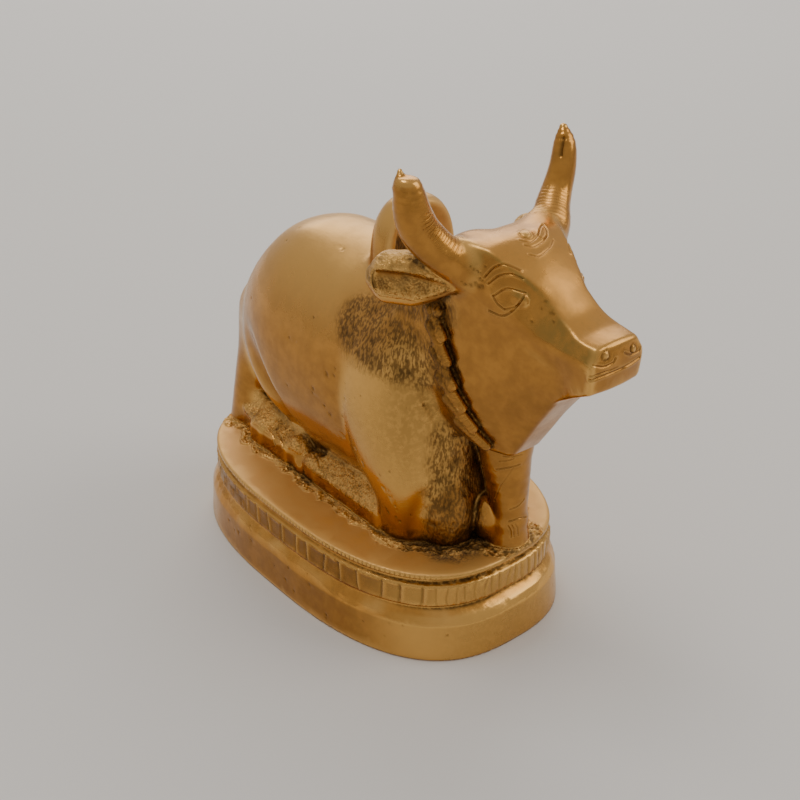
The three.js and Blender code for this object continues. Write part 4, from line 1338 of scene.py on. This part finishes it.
def brass_roughness(n, blotch, crevice):
    rough = n.ramp(blotch, 0.3, 0.75, 0.17, 0.27)
    for name, share in (("punched", 0.14), ("lumpy", 0.08), ("satin", 0.24), ("aged", 0.08)):
        rough = n.math("ADD", rough, n.times(n.attribute(name), share))
    return n.math("ADD", rough, n.times(crevice, 0.25))


def brass_normal(n, specks, grain, strokes, hatch):
    """Fine bumps, each over the one before: height, depth in metres and strength."""
    punched = n.attribute("punched")
    scratches = n.noise(1500, 2, 0.5, stretch=(0.15, 1, 1))
    normal = None
    for height, depth, strength in (
        (scratches, 0.00003, 0.35),
        (specks, 0.00006, 0.4),
        (n.times(punched, strokes), 0.00022, 0.8),
        (n.times(n.attribute("lumpy"), n.noise(1300, 3, 0.6)), 0.0006, 0.9),
        (n.times(punched, grain), 0.00008, 0.7),
        (n.math("SUBTRACT", 1.0, hatch), 0.00014, 0.9),
    ):
        normal = n.bump(height, depth, strength, normal)
    return normal


def brass():
    """Brass with tarnish and films, with painted shade in its crevices and a painted highlight on its worn
    edges and raised parts.
    """
    n = Nodes("aged_brass")
    blotch = n.noise(260, 5, 0.6)
    specks = n.noise(900, 4, 0.6)
    grain = n.noise(2400, 3, 0.6)
    strokes = n.noise(2300, 2, 0.5, stretch=(1.0, 0.8, 0.35))
    groove = n.ramp(n.math("PINGPONG", n.attribute("turns"), 0.5), 0.06, 0.26)
    hatch = n.times(n.attribute("hatched"), n.ramp(groove, 0, 1, 1, 0))
    # Painted shade: darker where the skin is closed in, along the dark marks, and in the grooves of the
    # hatching.
    crevice = n.times(n.ramp(n.attribute("open"), 0.74, 0.3), n.ramp(specks, 0.36, 0.56, 0.55, 1))
    crevice = n.most(crevice, n.times(n.attribute("dark"), 0.85))
    crevice = n.most(crevice, n.times(hatch, 0.58))
    film = 0
    for name, share in (("satin", 0.5), ("lumpy", 0.15), ("raised", 0.25)):
        film = n.most(film, n.times(n.attribute(name), share))
    sockets = n.shader.inputs
    n.put(brass_colour(n, blotch, specks, grain, strokes, crevice), sockets["Base Color"])
    n.put(n.math("SUBTRACT", 1.0, film), sockets["Metallic"])
    n.put(brass_roughness(n, blotch, crevice), sockets["Roughness"])
    n.put(brass_normal(n, specks, grain, strokes, hatch), sockets["Normal"])
    return n.material


def floor_material():
    n = Nodes("pale_floor")
    tone = n.noise(2.5, 4)
    n.put(n.mix(tone, FLOOR_DARK, FLOOR_PALE), n.shader.inputs["Base Color"])
    n.shader.inputs["Roughness"].default_value = 0.85
    return n.material


# Floor and light, in metres and watts

FLOOR_SIZE = 8.0
LIGHT_TARGET = (0, 0, 0.05)
SKY_COLOUR = (0.88, 0.84, 0.81, 1)
SKY_STRENGTH = 0.56
LIGHTS = (
    ("key", (0.62, 0.78, 0.72), (0.8, 0.8), 3.6, (1, 0.96, 0.9)),
    ("back", (-0.8, 0.6, 0.62), (0.95, 0.7), 4.4, (1, 0.97, 0.92)),
    ("top", (-0.28, -0.16, 1.15), (0.42, 0.42), 3.0, (1, 0.97, 0.92)),
)


def make_floor():
    half = FLOOR_SIZE / 2
    mesh = bpy.data.meshes.new("floor")
    corners = [(-half, -half, 0), (half, -half, 0), (half, half, 0), (-half, half, 0)]
    mesh.from_pydata(corners, [], [(0, 1, 2, 3)])
    mesh.materials.append(floor_material())
    link("floor", mesh)


def area_light(name, place, size, power, colour):
    """A soft rectangular light aimed at the middle of the figure."""
    data = bpy.data.lights.new(name, "AREA")
    data.shape = "RECTANGLE"
    data.size, data.size_y = size
    data.energy = power
    data.color = colour
    lamp = link(name, data)
    lamp.location = place
    lamp.rotation_euler = (Vector(LIGHT_TARGET) - Vector(place)).to_track_quat("-Z", "Y").to_euler()


def make_light():
    world = bpy.data.worlds.new("studio")
    world.use_nodes = True
    background = world.node_tree.nodes["Background"]
    background.inputs["Color"].default_value = SKY_COLOUR
    background.inputs["Strength"].default_value = SKY_STRENGTH
    bpy.context.scene.world = world
    for light in LIGHTS:
        area_light(*light)


bull_piece = make_bull()
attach(bull_piece, "root")
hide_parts("nandi_bull")
make_floor()
make_light()
make_camera()
